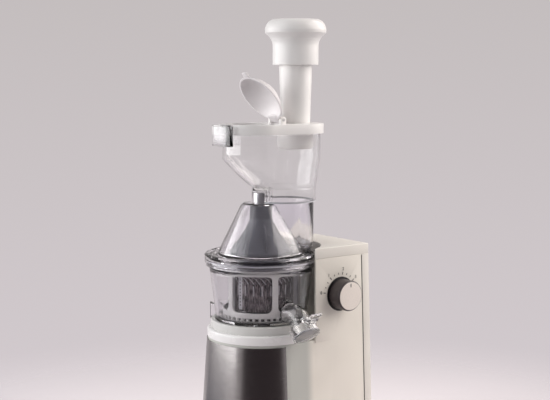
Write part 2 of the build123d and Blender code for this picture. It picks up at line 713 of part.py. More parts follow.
def dial_ring():
    """Thin ring on the cheek, round the knob's foot."""
    plate = Pos(0, 0, DIAL_GAP + DIAL_THICK / 2) * Cylinder(DIAL_R, DIAL_THICK)
    return knob_place() * (plate - Cylinder(SPINDLE_R + SHAFT_CLEAR, CAVITY))


def control_knob():
    middle = DIAL_GAP + DIAL_THICK + KNOB_GAP + KNOB_LENGTH / 2
    cap = Pos(0, 0, middle) * Cylinder(KNOB_R, KNOB_LENGTH)
    cap = chamfer(cap.edges().sort_by(Axis.Z)[-1], KNOB_CORNER)
    well = Pos(0, 0, middle - KNOB_FACE) * Cylinder(KNOB_R - KNOB_SKIRT, KNOB_LENGTH)
    hub = Pos(0, 0, middle) * Cylinder(SPINDLE_R + KNOB_HUB_WALL, KNOB_LENGTH - 1)
    bore = Pos(0, 0, middle - KNOB_FACE - 2) * Cylinder(SPINDLE_R + RUN_FIT, KNOB_LENGTH)
    length, width, depth = KNOB_MARK
    mark_x = -KNOB_R + KNOB_MARK_INSET + length / 2
    mark = Pos(mark_x, 0, middle + KNOB_LENGTH / 2) * Box(length, width, 2 * depth)
    return knob_place() * (cap - well + hub - bore - mark)


def speed_control():
    """Rotary control behind the cheek, with the spindle that carries the knob."""
    depth, width, height = CONTROL_BODY
    drop = cheek_x(KNOB_Z - DIAL_R) - cheek_x(KNOB_Z + height / 2)
    face = -drop - CASE_WALL - CONTROL_GAP
    body = Pos(0, 0, face - depth / 2) * Box(height, width, depth)
    tip = KNOB_LENGTH - SPINDLE_SHORT
    spindle = Pos(0, 0, (tip + face) / 2) * Cylinder(SPINDLE_R, tip - face)
    return knob_place() * (body + spindle)


def control_board():
    """Board with its supply capacitor and a finned heat sink."""
    width, thick, height = BOARD_SIZE
    board = box(-width / 2, width / 2, BOARD_Y, BOARD_Y + thick, BOARD_Z - height / 2, BOARD_Z + height / 2)
    x, rise = CAPACITOR_PLACE
    drum = Pos(x, BOARD_Y - CAPACITOR_LENGTH / 2, BOARD_Z + rise) * Rot(90, 0, 0)
    x, rise = HEAT_SINK_PLACE
    sink = Pos(x, BOARD_Y - HEAT_SINK[1] / 2, BOARD_Z + rise) * Box(*HEAT_SINK)
    return board + drum * Cylinder(CAPACITOR_R, CAPACITOR_LENGTH) + sink


# ---- Motor and planetary gearbox -------------------------------------------------------------
def motor_mounts():
    return Part() + [cyl(MOUNT_R, PLATE_TOP_Z, BELL_Z, x, y) for x, y in mount_places()]


def end_bell():
    top = BELL_Z + BELL_HEIGHT
    bell = cyl(MOTOR_R, BELL_Z, top) - cyl(MOTOR_R - MOTOR_WALL, BELL_Z + BELL_FLOOR, top + 1)
    bell += cyl(BEARING_R + BEARING_WALL, BELL_Z, top)
    bell -= cyl(BEARING_R + SEAT_FIT, top - BEARING_WIDTH, top + 1)
    return bell - cyl(SHAFT_R + SHAFT_CLEAR, BELL_Z - 1, top)


def motor_can():
    return ring(MOTOR_R, MOTOR_R - MOTOR_WALL, BELL_Z + BELL_HEIGHT, CAN_TOP_Z)


def rotor_z():
    middle = BELL_Z + BELL_HEIGHT + CAN_HEIGHT / 2 - ROTOR_DROP
    return middle - ROTOR_LENGTH / 2, middle + ROTOR_LENGTH / 2


def magnet_inner_r():
    return MOTOR_R - MOTOR_WALL - SEAT_FIT - MAGNET_THICK


def magnets():
    low, high = rotor_z()
    tube = ring(MOTOR_R - MOTOR_WALL - SEAT_FIT, magnet_inner_r(), low, high)
    return tube - box(-MOTOR_R, MOTOR_R, -MAGNET_SPLIT / 2, MAGNET_SPLIT / 2, low - 1, high + 1)


def rotor_core():
    low, high = rotor_z()
    r = magnet_inner_r() - AIR_GAP
    core = cyl(r, low, high)
    slot = box(r - ROTOR_SLOT_DEPTH, MOTOR_R, -ROTOR_SLOT / 2, ROTOR_SLOT / 2, low - 1, high + 1)
    core -= Part() + around(slot, ROTOR_SLOTS)
    return core - cyl(SHAFT_R + SEAT_FIT, low - 1, high + 1)


def motor_shaft():
    """Rotor shaft with the first sun gear cut on its end."""
    shaft = cyl(SHAFT_R, BELL_Z + BELL_HEIGHT - BEARING_WIDTH, FIRST_Z)
    return shaft + gear(SUN_TEETH, FIRST_Z, GEAR_WIDTH, 0)


def cooling_fan():
    z0 = rotor_z()[1] + FAN_GAP
    hub_r = SHAFT_R + FAN_HUB_WALL
    tip_r = MOTOR_R - MOTOR_WALL - FAN_TIP_GAP
    fan = cyl(hub_r, z0, z0 + FAN_HEIGHT) + cyl(tip_r, z0, z0 + FAN_DISC)
    blade = box(hub_r - 1, tip_r - 1, -FAN_BLADE / 2, FAN_BLADE / 2, z0, z0 + FAN_HEIGHT)
    fan += around(blade, FAN_BLADES)
    return fan - cyl(SHAFT_R + SEAT_FIT, z0 - 1, z0 + FAN_HEIGHT + 1)


def bearings():
    """Two motor bearings and the wide bearing of the output shaft."""
    low = BELL_Z + BELL_HEIGHT - BEARING_WIDTH
    lower = ring(BEARING_R, SHAFT_R + RUN_FIT, low, low + BEARING_WIDTH)
    upper = ring(BEARING_R, SHAFT_R + RUN_FIT, CAN_TOP_Z, GEAR_BASE_Z - PLATE_LIP)
    low = GEAR_LID_TOP_Z - OUTPUT_BEARING_WIDTH
    output = ring(OUTPUT_BEARING_R, OUTPUT_R + RUN_FIT, low, GEAR_LID_TOP_Z)
    return Part() + [lower, upper, output]


def gearbox_plate():
    plate = cyl(GEARBOX_R, CAN_TOP_Z, GEAR_BASE_Z)
    plate -= cyl(BEARING_R + SEAT_FIT, CAN_TOP_Z - 1, GEAR_BASE_Z - PLATE_LIP)
    return plate - cyl(SHAFT_R + SHAFT_CLEAR, CAN_TOP_Z, GEAR_BASE_Z + 1)


def ring_gear():
    return inner_gear(RING_TEETH, GEAR_BASE_Z, GEAR_LID_Z, GEARBOX_R)


def gearbox_lid():
    lid = cyl(GEARBOX_R, GEAR_LID_Z, GEAR_LID_TOP_Z)
    lid -= cyl(OUTPUT_R + SHAFT_CLEAR, GEAR_LID_Z - 1, GEAR_LID_TOP_Z + 1)
    low = GEAR_LID_TOP_Z - OUTPUT_BEARING_WIDTH
    return lid - cyl(OUTPUT_BEARING_R + SEAT_FIT, low, GEAR_LID_TOP_Z + 1)


def shaft_seal():
    low = COLUMN_TOP_Z + HUB_HEIGHT - SEAL_HEIGHT
    return ring(SEAL_R, OUTPUT_R + RUN_FIT, low, low + SEAL_HEIGHT)


def carrier(gear_z):
    """Disc above a stage, with one pin down through each planet."""
    z0 = gear_z + GEAR_WIDTH + STAGE_GAP
    pin = cyl(PIN_R, gear_z, z0, PLANET_ORBIT, 0)
    return cyl(CARRIER_R, z0, z0 + CARRIER_THICK) + around(pin, PLANETS)


def first_carrier():
    return carrier(FIRST_Z) + gear(SUN_TEETH, FIRST_CARRIER_Z + CARRIER_THICK, STAGE_GAP + GEAR_WIDTH, 0)


def output_shaft():
    top = SECOND_CARRIER_Z + CARRIER_THICK
    shaft = carrier(SECOND_Z) + cyl(OUTPUT_R, top, NECK_TOP_Z)
    hexagon = extrude(RegularPolygon(HEX_FLATS / 2, 6, major_radius=False), HEX_TOP_Z - NECK_TOP_Z)
    return shaft + Pos(0, 0, NECK_TOP_Z) * hexagon


def planet(gear_z, index):
    """One planet with a tooth gap towards the sun, on its own carrier pin."""
    wheel = gear(PLANET_TEETH, gear_z, GEAR_WIDTH, PIN_R + RUN_FIT, 180 / PLANET_TEETH)
    return Rot(0, 0, 360 * index / PLANETS) * Pos(PLANET_ORBIT, 0, 0) * wheel


# ---- Juicing bowl ----------------------------------------------------------------------------
def bowl_r(z):
    """Outside radius of the bowl at height z."""
    share = (z - NECK_TOP_Z) / (BOWL_RIM_Z - NECK_TOP_Z)
    return BOWL_FLOOR_R + share * (BOWL_RIM_R - BOWL_FLOOR_R)


def bowl_form():
    """Outline of the bowl as a filled solid, up to its rim."""
    return turned([(0, NECK_TOP_Z), (BOWL_FLOOR_R, NECK_TOP_Z), (BOWL_RIM_R, BOWL_RIM_Z), (0, BOWL_RIM_Z)])


def spout_mouth():
    """Centre of the juice mouth, and the frame with Z along the flow."""
    drop = radians(SPOUT_DROP)
    x = SPOUT_BEND_X + SPOUT_END * cos(drop)
    z = SPOUT_Z - SPOUT_END * sin(drop)
    return Pos(x, 0, z) * Rot(0, 90 + SPOUT_DROP, 0)


def spout_rod(r, start_x):
    mouth = spout_mouth().position
    path = FilletPolyline((start_x, 0, SPOUT_Z), (SPOUT_BEND_X, 0, SPOUT_Z), tuple(mouth), radius=SPOUT_BEND_R)
    section = Pos(start_x, 0, SPOUT_Z) * Rot(0, 90, 0) * Circle(r)
    return sweep(section, path)


def spout_bore():
    """Way of the juice, from inside the bowl out through the mouth."""
    return spout_rod(SPOUT_R - SPOUT_WALL, bowl_r(SPOUT_Z) - SPOUT_ROOT)


def pulp_duct_outer():
    channel = box(-DUCT_REACH, -DUCT_START_X, -DUCT_HALF, DUCT_HALF, DUCT_LOW_Z, NECK_TOP_Z)
    end_x, top = -DUCT_REACH + MOUTH_LENGTH, DUCT_LOW_Z + MOUTH_HEIGHT
    return channel + box(-DUCT_REACH, end_x, -DUCT_HALF, DUCT_HALF, DUCT_LOW_Z, top)


def pulp_duct_inner():
    low, half = DUCT_LOW_Z + DUCT_WALL, DUCT_HALF - DUCT_WALL
    channel = box(-DUCT_REACH - 1, -DUCT_START_X - DUCT_WALL, -half, half, low, NECK_TOP_Z - DUCT_WALL)
    end_x, top = -DUCT_REACH + MOUTH_LENGTH - DUCT_WALL, DUCT_LOW_Z + MOUTH_HEIGHT - DUCT_WALL
    return channel + box(-DUCT_REACH - 1, end_x, -half, half, low, top)


def pulp_port(z0, z1, grow=0.0):
    length, width = PULP_PORT
    x = -PULP_PORT_X
    return box(x - length / 2 - grow, x + length / 2 + grow, -width / 2 - grow, width / 2 + grow, z0, z1)


def juicing_bowl():
    """Bowl with its ledge, the hub for the screw and the pin for the brush's pinion."""
    haunch_z = LEDGE_Z - LEDGE_HEIGHT - LEDGE_HAUNCH
    ledge_r = bowl_r(LEDGE_Z) - BOWL_WALL - LEDGE_WIDTH
    bowl = turned([
        (0, NECK_TOP_Z),
        (BOWL_FLOOR_R, NECK_TOP_Z),
        (BOWL_RIM_R, BOWL_RIM_Z),
        (BOWL_RIM_R - BOWL_WALL, BOWL_RIM_Z),
        (BOWL_RIM_R - BOWL_WALL, LEDGE_Z),
        (ledge_r, LEDGE_Z),
        (ledge_r, LEDGE_Z - LEDGE_HEIGHT),
        (bowl_r(haunch_z) - BOWL_WALL, haunch_z),
        (bowl_r(FLOOR_Z) - BOWL_WALL, FLOOR_Z),
        (0, FLOOR_Z),
    ])
    bowl += cyl(BOWL_HUB_R, NECK_TOP_Z, BOWL_HUB_TOP_Z)
    bowl += cyl(PINION_PIN_R, FLOOR_Z, DRIVE_Z + DRIVE_WIDTH, 0, PINION_ORBIT)
    bowl -= pulp_port(NECK_TOP_Z - 1, FLOOR_Z + 1) + spout_bore()
    return bowl - cyl(OUTPUT_R + BOWL_HUB_CLEAR, NECK_TOP_Z - 1, BOWL_HUB_TOP_Z + 1)


def juice_spout():
    """Bent spout on the bowl's right side, with the ears of its cap."""
    rod = spout_rod(SPOUT_R, bowl_r(SPOUT_Z) - SPOUT_ROOT)
    mouth = spout_mouth() * Cylinder(SPOUT_R - SPOUT_WALL, 2)
    return rod + cap_ears() - bowl_form() - spout_bore() - mouth


def pulp_duct():
    """Channel under the bowl that carries pulp out to the left."""
    duct = pulp_duct_outer() - pulp_duct_inner()
    duct -= pulp_port(NECK_TOP_Z - DUCT_WALL - 1, NECK_TOP_Z + 1)
    return duct - pulp_port(DUCT_LOW_Z - 1, DUCT_LOW_Z + DUCT_WALL + 1, SEAT_FIT)


def pulp_plug():
    """Silicone plug that closes the cleaning hole under the pulp port."""
    return pulp_port(DUCT_LOW_Z, DUCT_LOW_Z + DUCT_WALL)


def lid_seal():
    return ring(BOWL_RIM_R, BOWL_RIM_R - BOWL_WALL, BOWL_RIM_Z, BOWL_RIM_Z + LID_SEAL)


def cap_hinge():
    """Frame on the hinge pin above the mouth: Z along the pin."""
    return spout_mouth() * Pos(*cap_hinge_place()) * Rot(90, 0, 0)


def cap_hinge_place():
    return -SPOUT_CAP_R - CAP_EYE_OUT, 0, CAP_EYE_DROP - SPOUT_CAP_LENGTH


def cap_ears():
    """Two ears on the spout that carry the cap's pin."""
    ears = []
    middle = (CAP_KNUCKLE + CAP_EAR) / 2 + CAP_GAP
    reach = SPOUT_CAP_R + CAP_EYE_OUT
    web_length = reach - SPOUT_R + CAP_EAR_LAP
    for side in (-middle, middle):
        eye = cap_hinge() * Pos(0, 0, side) * Cylinder(CAP_EYE_R, CAP_EAR)
        web = Pos(-reach + web_length / 2, side, -SPOUT_CAP_LENGTH - CAP_EYE_R / 2)
        ears += [eye, spout_mouth() * web * Box(web_length, CAP_EAR, CAP_EYE_R + 1)]
    bore = spout_mouth() * Pos(0, 0, -2 * CAVITY) * Cylinder(SPOUT_R - 1, 6 * CAVITY)
    swept_z = CAVITY - SPOUT_CAP_LENGTH - CAP_EAR_GAP
    swept = spout_mouth() * Pos(0, 0, swept_z) * Cylinder(SPOUT_CAP_R + CAP_EAR_GAP, 2 * CAVITY)
    pin = cap_hinge() * Cylinder(CAP_PIN_R, 4 * CAVITY)
    return [ear - bore - swept - pin for ear in ears]


def spout_cap():
    """Cap with its hinge knuckle above and the lever that lifts it."""
    face_z = CAP_GAP + CAP_SEAL
    top = face_z + SPOUT_CAP_FACE
    skirt = Pos(0, 0, (top - SPOUT_CAP_LENGTH) / 2) * Cylinder(SPOUT_CAP_R, top + SPOUT_CAP_LENGTH)
    well = Pos(0, 0, face_z - 2 * CAVITY) * Cylinder(SPOUT_R + SPOUT_CAP_FIT, 4 * CAVITY)
    hinge_x, _, hinge_z = cap_hinge_place()
    arm_x, arm_z = (hinge_x - SPOUT_CAP_R) / 2, hinge_z + CAP_ARM / 2
    arm = Pos(arm_x, 0, arm_z) * Box(CAP_EYE_OUT + CAP_EAR_LAP, CAP_KNUCKLE, CAP_ARM)
    length, width, thick = CAP_LEVER
    lever_x = hinge_x - CAP_EYE_R - CAP_LEVER_GAP - length / 2
    lever = Pos(lever_x, 0, hinge_z) * Box(length, width, thick)
    link = Pos((lever_x + hinge_x) / 2, 0, hinge_z) * Box(hinge_x - lever_x, CAP_KNUCKLE, thick)
    cap = spout_mouth() * (skirt + arm + lever + link) + cap_hinge() * Cylinder(CAP_EYE_R, CAP_KNUCKLE)
    return cap - spout_mouth() * well - cap_hinge() * Cylinder(CAP_PIN_R + RUN_FIT, 4 * CAVITY)


def cap_seal():
    return spout_mouth() * Pos(0, 0, CAP_GAP + CAP_SEAL / 2) * Cylinder(SPOUT_R + SPOUT_CAP_FIT, CAP_SEAL)


def cap_pin():
    return cap_hinge() * Cylinder(CAP_PIN_R, CAP_KNUCKLE + 2 * (CAP_EAR + CAP_PIN_END))


# ---- Strainer, brush and auger ---------------------------------------------------------------
def strainer_mesh():
    """Steel basket: rows of slots between the plastic base and rim."""
    low, high = STRAINER_FLOOR_Z + STRAINER_FLOOR, LEDGE_Z
    mesh = ring(STRAINER_R, STRAINER_R - STRAINER_WALL, low, high)
    pitch = (high - low) / SLOT_ROWS
    for row in range(SLOT_ROWS):
        slot = Pos(STRAINER_R, 0, low + pitch * (row + 0.5)) * Box(CAVITY, SLOT_WIDTH, SLOT_HEIGHT)
        mesh -= Part() + around(slot, STRAINER_SLOTS, 180 * (row % 2) / STRAINER_SLOTS)
    return mesh


def strainer_frame():
    """Plastic base of the basket, and the rim that hangs it on the bowl's ledge."""
    base = ring(STRAINER_R, STRAINER_HOLE_R, STRAINER_FLOOR_Z, STRAINER_FLOOR_Z + STRAINER_FLOOR)
    base -= pulp_port(STRAINER_FLOOR_Z - 1, STRAINER_FLOOR_Z + STRAINER_FLOOR + 1)
    rim_r = BOWL_RIM_R - BOWL_WALL - LID_FIT
    rim = ring(rim_r, STRAINER_R - STRAINER_WALL, LEDGE_Z, LEDGE_Z + LEDGE_HEIGHT)
    return Part() + [base, rim]


def brush_frame():
    """Turning cage round the basket, with an inner gear at its foot."""
    foot_z = DRIVE_Z + DRIVE_WIDTH
    toothed = inner_gear(BRUSH_RING_TEETH, DRIVE_Z, foot_z, BRUSH_R)
    wall = ring(BRUSH_R, BRUSH_R - BRUSH_WALL, foot_z, BRUSH_TOP_Z)
    z0, z1 = foot_z + WINDOW_MARGIN, BRUSH_TOP_Z - WINDOW_MARGIN
    width = 2 * BRUSH_R * sin(radians(WINDOW_ARC / 2))
    hole = Rot(0, 90, 0) * extrude(RectangleRounded(z1 - z0, width, WINDOW_CORNER), BRUSH_R + CAVITY)
    for window in around(Pos(0, 0, (z0 + z1) / 2) * hole, BRUSH_WINDOWS, BRUSH_TURN):
        wall -= window
    return toothed + wall


def wiper_blades():
    """Silicone strips on the cage's posts, just clear of the basket."""
    low, high = DRIVE_Z + DRIVE_WIDTH + WIPER_FOOT_GAP, BRUSH_TOP_Z - WIPER_TOP_GAP
    strip = box(STRAINER_R + WIPER_GAP, BRUSH_R, -WIPER_THICK / 2, WIPER_THICK / 2, low, high)
    strip &= cyl(BRUSH_R - BRUSH_WALL, low, high)
    return Part() + around(strip, BRUSH_WINDOWS, BRUSH_TURN + 180 / BRUSH_WINDOWS)


def brush_pinion():
    wheel = gear(PINION_TEETH, DRIVE_Z, DRIVE_WIDTH, PINION_PIN_R + RUN_FIT, 180 / PINION_TEETH)
    return Rot(0, 0, 90) * Pos(PINION_ORBIT, 0, 0) * wheel


def auger_core():
    neck_top, pin_top = ROOF_Z - LID_WALL - STAGE_GAP, BOSS_TOP_Z - LID_WALL - STAGE_GAP
    return turned([
        (0, AUGER_BOTTOM_Z),
        (AUGER_CORE_LOW_R, AUGER_BOTTOM_Z),
        (AUGER_CORE_TOP_R, AUGER_BODY_TOP_Z),
        (AUGER_R, AUGER_BODY_TOP_Z + AUGER_CHAMFER),
        (AUGER_R, AUGER_SHOULDER_Z),
        *neck_curve(),
        (AUGER_NECK_R, neck_top),
        (AUGER_PIN_R, neck_top),
        (AUGER_PIN_R, pin_top),
        (0, pin_top),
    ])


def neck_curve(steps=8):
    """Hollow flare from the shoulder up to the neck."""
    points = []
    for i in range(1, steps + 1):
        left = 1 - i / steps
        r = AUGER_NECK_R + (AUGER_R - AUGER_NECK_R) * left**AUGER_FLARE
        points.append((r, AUGER_NECK_Z - AUGER_NECK_RISE * left))
    return points


def auger_flight():
    """Helical thread below the shoulder, trimmed to the basket's bore."""
    low, high = AUGER_BOTTOM_Z + FLIGHT_LOW, AUGER_BODY_TOP_Z - FLIGHT_TOP
    reach = AUGER_R + 2
    mean_r = (AUGER_CORE_LOW_R + reach + 2) / 2
    path = Pos(0, 0, low) * Helix(AUGER_PITCH, high - low, mean_r)
    start = Plane(origin=path @ 0, x_dir=(1, 0, 0), z_dir=path % 0)
    thread = sweep(start * Rectangle(2 * (reach - mean_r), FLIGHT_THICK), path=path, is_frenet=True)
    return thread & cyl(AUGER_R, AUGER_BOTTOM_Z, AUGER_BODY_TOP_Z + AUGER_CHAMFER)


def auger_wing():
    """Cutting wing that stands on the shoulder and draws food down."""
    root_r, tip_r = AUGER_NECK_R - WING_ROOT, AUGER_R - WING_INSET
    knee_r, knee_drop = WING_KNEE
    edge = [
        (root_r, AUGER_SHOULDER_Z - WING_SINK),
        (tip_r, AUGER_SHOULDER_Z - WING_SINK),
        (tip_r, AUGER_SHOULDER_Z + WING_TIP),
        (knee_r, AUGER_NECK_Z - knee_drop),
        (root_r, WING_TOP_Z),
    ]
    face = make_face(Plane.XZ * Polyline(*edge, close=True))
    return Rot(0, 0, WING_TURN) * Pos(0, WING_THICK / 2, 0) * extrude(face, WING_THICK)


def auger():
    """Screw with its drive gear, bored for the bowl's hub and the socket."""
    body = auger_core() + auger_flight() + auger_wing()
    body += gear(DRIVE_TEETH, DRIVE_Z, DRIVE_WIDTH, 0)
    body += cyl(MODULE * DRIVE_TEETH / 2 - DRIVE_STEM_STEP, DRIVE_Z + DRIVE_WIDTH, AUGER_BOTTOM_Z)
    body -= cyl(BOWL_HUB_R + AUGER_BORE_FIT, DRIVE_Z - 1, BOWL_HUB_TOP_Z + SOCKET_FOOT)
    return body - cyl(SOCKET_R, BOWL_HUB_TOP_Z, HEX_TOP_Z + SOCKET_ROOM)


def auger_socket():
    """Steel insert with the hexagon that the output shaft drives."""
    low, high = BOWL_HUB_TOP_Z + SOCKET_FOOT, HEX_TOP_Z + SOCKET_ROOM
    bore = extrude(RegularPolygon(HEX_FLATS / 2 + SOCKET_FIT, 6, major_radius=False), high - low + 2)
    return cyl(SOCKET_R, low, high) - Pos(0, 0, low - 1) * bore


# ---- Lid and hopper --------------------------------------------------------------------------
def chute(r, z0, z1, rounding):
    """Rear feed tube of the lid, rounded in at its foot."""
    tube = cyl(r, z0, z1, 0, CHUTE_Y)
    return fillet(tube.edges().sort_by(Axis.Z)[0], rounding)


def boss_keep(grow, z0, z1):
    return cyl(BOSS_R + grow, z0, z1)


def lid_outline():
    """Half section of the lid's outside: inner ring, skirt, flange, cone and boss."""
    under_z, groove_z = LID_RING_TOP_Z - LID_WALL, LID_RING_TOP_Z - LID_RING_STEP
    press_r, press_z = STRAINER_R + PRESS_STEP, LEDGE_Z + LEDGE_HEIGHT
    seat_r, seat_z = BOWL_RIM_R + LID_FIT, BOWL_RIM_Z + LID_SEAL
    skirt_r = LID_RING_R - LID_SKIRT_INSET
    foot_out, foot_up = CONE_FOOT
    return [
        (0, under_z),
        (press_r, under_z),
        (press_r, press_z),
        (press_r + LID_WALL, press_z),
        (press_r + LID_WALL, seat_z),
        (seat_r, seat_z),
        (seat_r, LID_SKIRT_Z),
        (skirt_r, LID_SKIRT_Z),
        (skirt_r, LID_RING_Z - LID_WALL),
        (LID_RING_R, LID_RING_Z),
        (LID_RING_R, LID_RING_TOP_Z - LID_RING_CORNER),
        (LID_RING_R - LID_RING_CORNER, LID_RING_TOP_Z),
        (LID_RING_R - LID_RING_WIDTH, LID_RING_TOP_Z),
        (LID_RING_R - LID_RING_WIDTH - 1, groove_z),
        (CONE_BASE_R + foot_out, groove_z),
        (CONE_BASE_R, LID_RING_TOP_Z + foot_up),
        (CONE_TOP_R, ROOF_Z - LID_WALL),
        (CONE_TOP_R - ROOF_CORNER, ROOF_Z),
        (BOSS_R, ROOF_Z),
        (BOSS_R, BOSS_TOP_Z),
        (0, BOSS_TOP_Z),
    ]


def lid_inside():
    """Hollow of the cone and of the rear chute."""
    wall = LID_WALL
    foot_out, foot_up = CONE_FOOT
    low, ceiling = LID_RING_TOP_Z - 2 * wall, ROOF_Z - wall
    cone_space = turned([
        (0, low),
        (CONE_BASE_R - wall - foot_out, low),
        (CONE_BASE_R - wall - 1, LID_RING_TOP_Z + foot_up),
        (CONE_TOP_R - wall - 1, ceiling),
        (0, ceiling),
    ])
    return cone_space + chute(CHUTE_R - wall, LID_RING_TOP_Z, ceiling, CHUTE_ROUND - wall)


def lower_lid():
    lid = turned(lid_outline()) + chute(CHUTE_R, LID_RING_TOP_Z - LID_WALL, ROOF_Z, CHUTE_ROUND)
    low = ROOF_Z - LID_WALL - 1
    mouth = cyl(HOPPER_R - HOPPER_WALL - HOPPER_MOUTH_STEP, low, ROOF_Z + 1, 0, HOPPER_Y)
    mouth &= cyl(CHUTE_R - LID_WALL, low, ROOF_Z + 1, 0, CHUTE_Y)
    mouth -= boss_keep(LID_WALL, low - 1, ROOF_Z + 2)
    return lid - lid_inside() - mouth - cyl(AUGER_PIN_R + BUSH_WALL + SEAT_FIT, low, BOSS_TOP_Z - LID_WALL)


def lid_bush():
    low = ROOF_Z - LID_WALL + BUSH_FOOT
    return ring(AUGER_PIN_R + BUSH_WALL, AUGER_PIN_R + RUN_FIT, low, BOSS_TOP_Z - LID_WALL)


def hopper_seal():
    outline = ring(HOPPER_R, HOPPER_R - HOPPER_WALL, ROOF_Z, ROOF_Z + HOPPER_SEAL, 0, HOPPER_Y)
    return outline - boss_keep(BOSS_GAP, ROOF_Z - 1, ROOF_Z + HOPPER_SEAL + 1)


def scoop_face(swing, inset):
    """Section of the hopper's scoop, from its neck (0 degrees) to its mouth (90)."""
    reach = sin(radians(swing)) ** HOPPER_SCOOP_CURVE
    z = HOPPER_MOUTH_Z - HOPPER_SCOOP * cos(radians(swing)) ** HOPPER_SCOOP_CURVE
    shift, step = HOPPER_SCOOP_START
    start_y, start_r = HOPPER_Y - shift, HOPPER_R - step
    front_y = start_y + (MOUTH_Y - start_y) * reach
    front_r = start_r + (MOUTH_R - start_r) * reach - inset
    back_y = HOPPER_Y + (REAR_Y - HOPPER_Y) * reach
    back_r = HOPPER_R + (REAR_R - HOPPER_R) * reach - inset
    return hull_face(z, front_y, front_r, back_y, back_r)


def hopper_form(inset, z_low, z_top):
    """Neck, curved scoop and tall mouth, set in by the wall thickness."""
    form = cyl(HOPPER_R - inset, z_low, HOPPER_NECK_Z, 0, HOPPER_Y)
    faces = [scoop_face(90 * i / HOPPER_SCOOP_STEPS, inset) for i in range(HOPPER_SCOOP_STEPS + 1)]
    for lower, upper in zip(faces, faces[1:]):
        form += loft([lower, upper], ruled=True)
    return form + hull(HOPPER_MOUTH_Z, z_top, MOUTH_Y, MOUTH_R - inset, REAR_Y, REAR_R - inset)


def hopper():
    low, boss_top = ROOF_Z + HOPPER_SEAL, BOSS_TOP_Z + BOSS_GAP
    shell = hopper_form(0, low, HOPPER_TOP_Z) - boss_keep(BOSS_GAP, low - 1, boss_top)
    inside = hopper_form(HOPPER_WALL, low - 1, HOPPER_TOP_Z + 1)
    inside -= boss_keep(BOSS_GAP + HOPPER_WALL, low - 2, boss_top + HOPPER_WALL)
    return shell - inside


def cover_latch():
    """Open loop that clips the cover to the front of the hopper."""
    front = MOUTH_Y - MOUTH_R
    y0, y1 = front - LUG_REACH, front - COVER_SKIRT
    low, bar = COVER_TOP_Z - LUG_HEIGHT, LUG_BAR
    loop = box(-LUG_HALF, LUG_HALF, y0, y1, low, COVER_TOP_Z)
    return loop - box(-LUG_HALF - 1, LUG_HALF + 1, y0 + bar, y1 - bar, low + bar, COVER_TOP_Z - bar)


def hinge_place():
    return Pos(0, HINGE_Y, HINGE_Z) * Rot(0, 90, 0)


# ---- Top cover, flap and pusher --------------------------------------------------------------
def top_cover():
    """Cover with the feed mouth, the pusher's sleeve and the ears of the flap."""
    low = HOPPER_TOP_Z - COVER_SKIRT
    cover = hull(low, COVER_TOP_Z, MOUTH_Y, MOUTH_R + COVER_LIP, REAR_Y, REAR_R + COVER_LIP)
    cover -= hull(low - 1, HOPPER_TOP_Z, MOUTH_Y, MOUTH_R + COVER_FIT, REAR_Y, REAR_R + COVER_FIT)
    cover -= cyl(FEED_R, low, COVER_TOP_Z + 1, 0, MOUTH_Y)
    bore_r = PUSHER_TOP_R + PUSHER_GAP
    cover += cyl(bore_r + SLEEVE_WALL, SLEEVE_Z, HOPPER_TOP_Z, 0, PUSHER_Y)
    cover -= cyl(bore_r, SLEEVE_Z - 1, COVER_TOP_Z + 1, 0, PUSHER_Y)
    ear_x = KNUCKLE_HALF + KNUCKLE_GAP + EAR_WIDTH / 2
    for side in (-ear_x, ear_x):
        web = box(side - EAR_WIDTH / 2, side + EAR_WIDTH / 2, HINGE_Y - KNUCKLE_R, HINGE_Y + KNUCKLE_R,
                  COVER_TOP_Z - 1, HINGE_Z)
        cover += hinge_place() * Pos(0, 0, side) * Cylinder(KNUCKLE_R, EAR_WIDTH) + web
    return cover - hinge_place() * Cylinder(HINGE_PIN_R, 6 * CAVITY)


def flap_pin():
    return hinge_place() * Cylinder(HINGE_PIN_R, 2 * (KNUCKLE_HALF + EAR_WIDTH + HINGE_PIN_END))


def feed_flap():
    """Shallow dome that shuts the feed mouth, drawn shut and then swung open."""
    sphere_r = (FLAP_R**2 + FLAP_DOME**2) / (2 * FLAP_DOME)
    centre_y = HINGE_Y - KNUCKLE_R - FLAP_R + 1
    low = COVER_TOP_Z + FLAP_GAP
    middle = Pos(0, centre_y, low + FLAP_DOME - sphere_r)
    dome = middle * (Sphere(sphere_r) - Sphere(sphere_r - FLAP_THICK))
    dome &= cyl(FLAP_R, low, low + FLAP_DOME + 2, 0, centre_y)
    dome += ring(FLAP_R, FLAP_R - FLAP_THICK, low, low + FLAP_RIM, 0, centre_y)
    arm = box(-KNUCKLE_HALF, KNUCKLE_HALF, HINGE_Y - KNUCKLE_R - FLAP_ARM, HINGE_Y - 1, low, HINGE_Z + 1)
    width, length, thick = TAB
    tab_y = centre_y - FLAP_R
    tab = box(-width / 2, width / 2, tab_y - length, tab_y + TAB_LAP, low, low + thick)
    flap = dome + arm + tab + hinge_place() * Cylinder(KNUCKLE_R - KNUCKLE_GAP, 2 * KNUCKLE_HALF)
    flap -= hinge_place() * Cylinder(HINGE_PIN_R + RUN_FIT, 6 * CAVITY)
    return Pos(0, HINGE_Y, HINGE_Z) * Rot(-FLAP_OPEN, 0, 0) * Pos(0, -HINGE_Y, -HINGE_Z) * flap


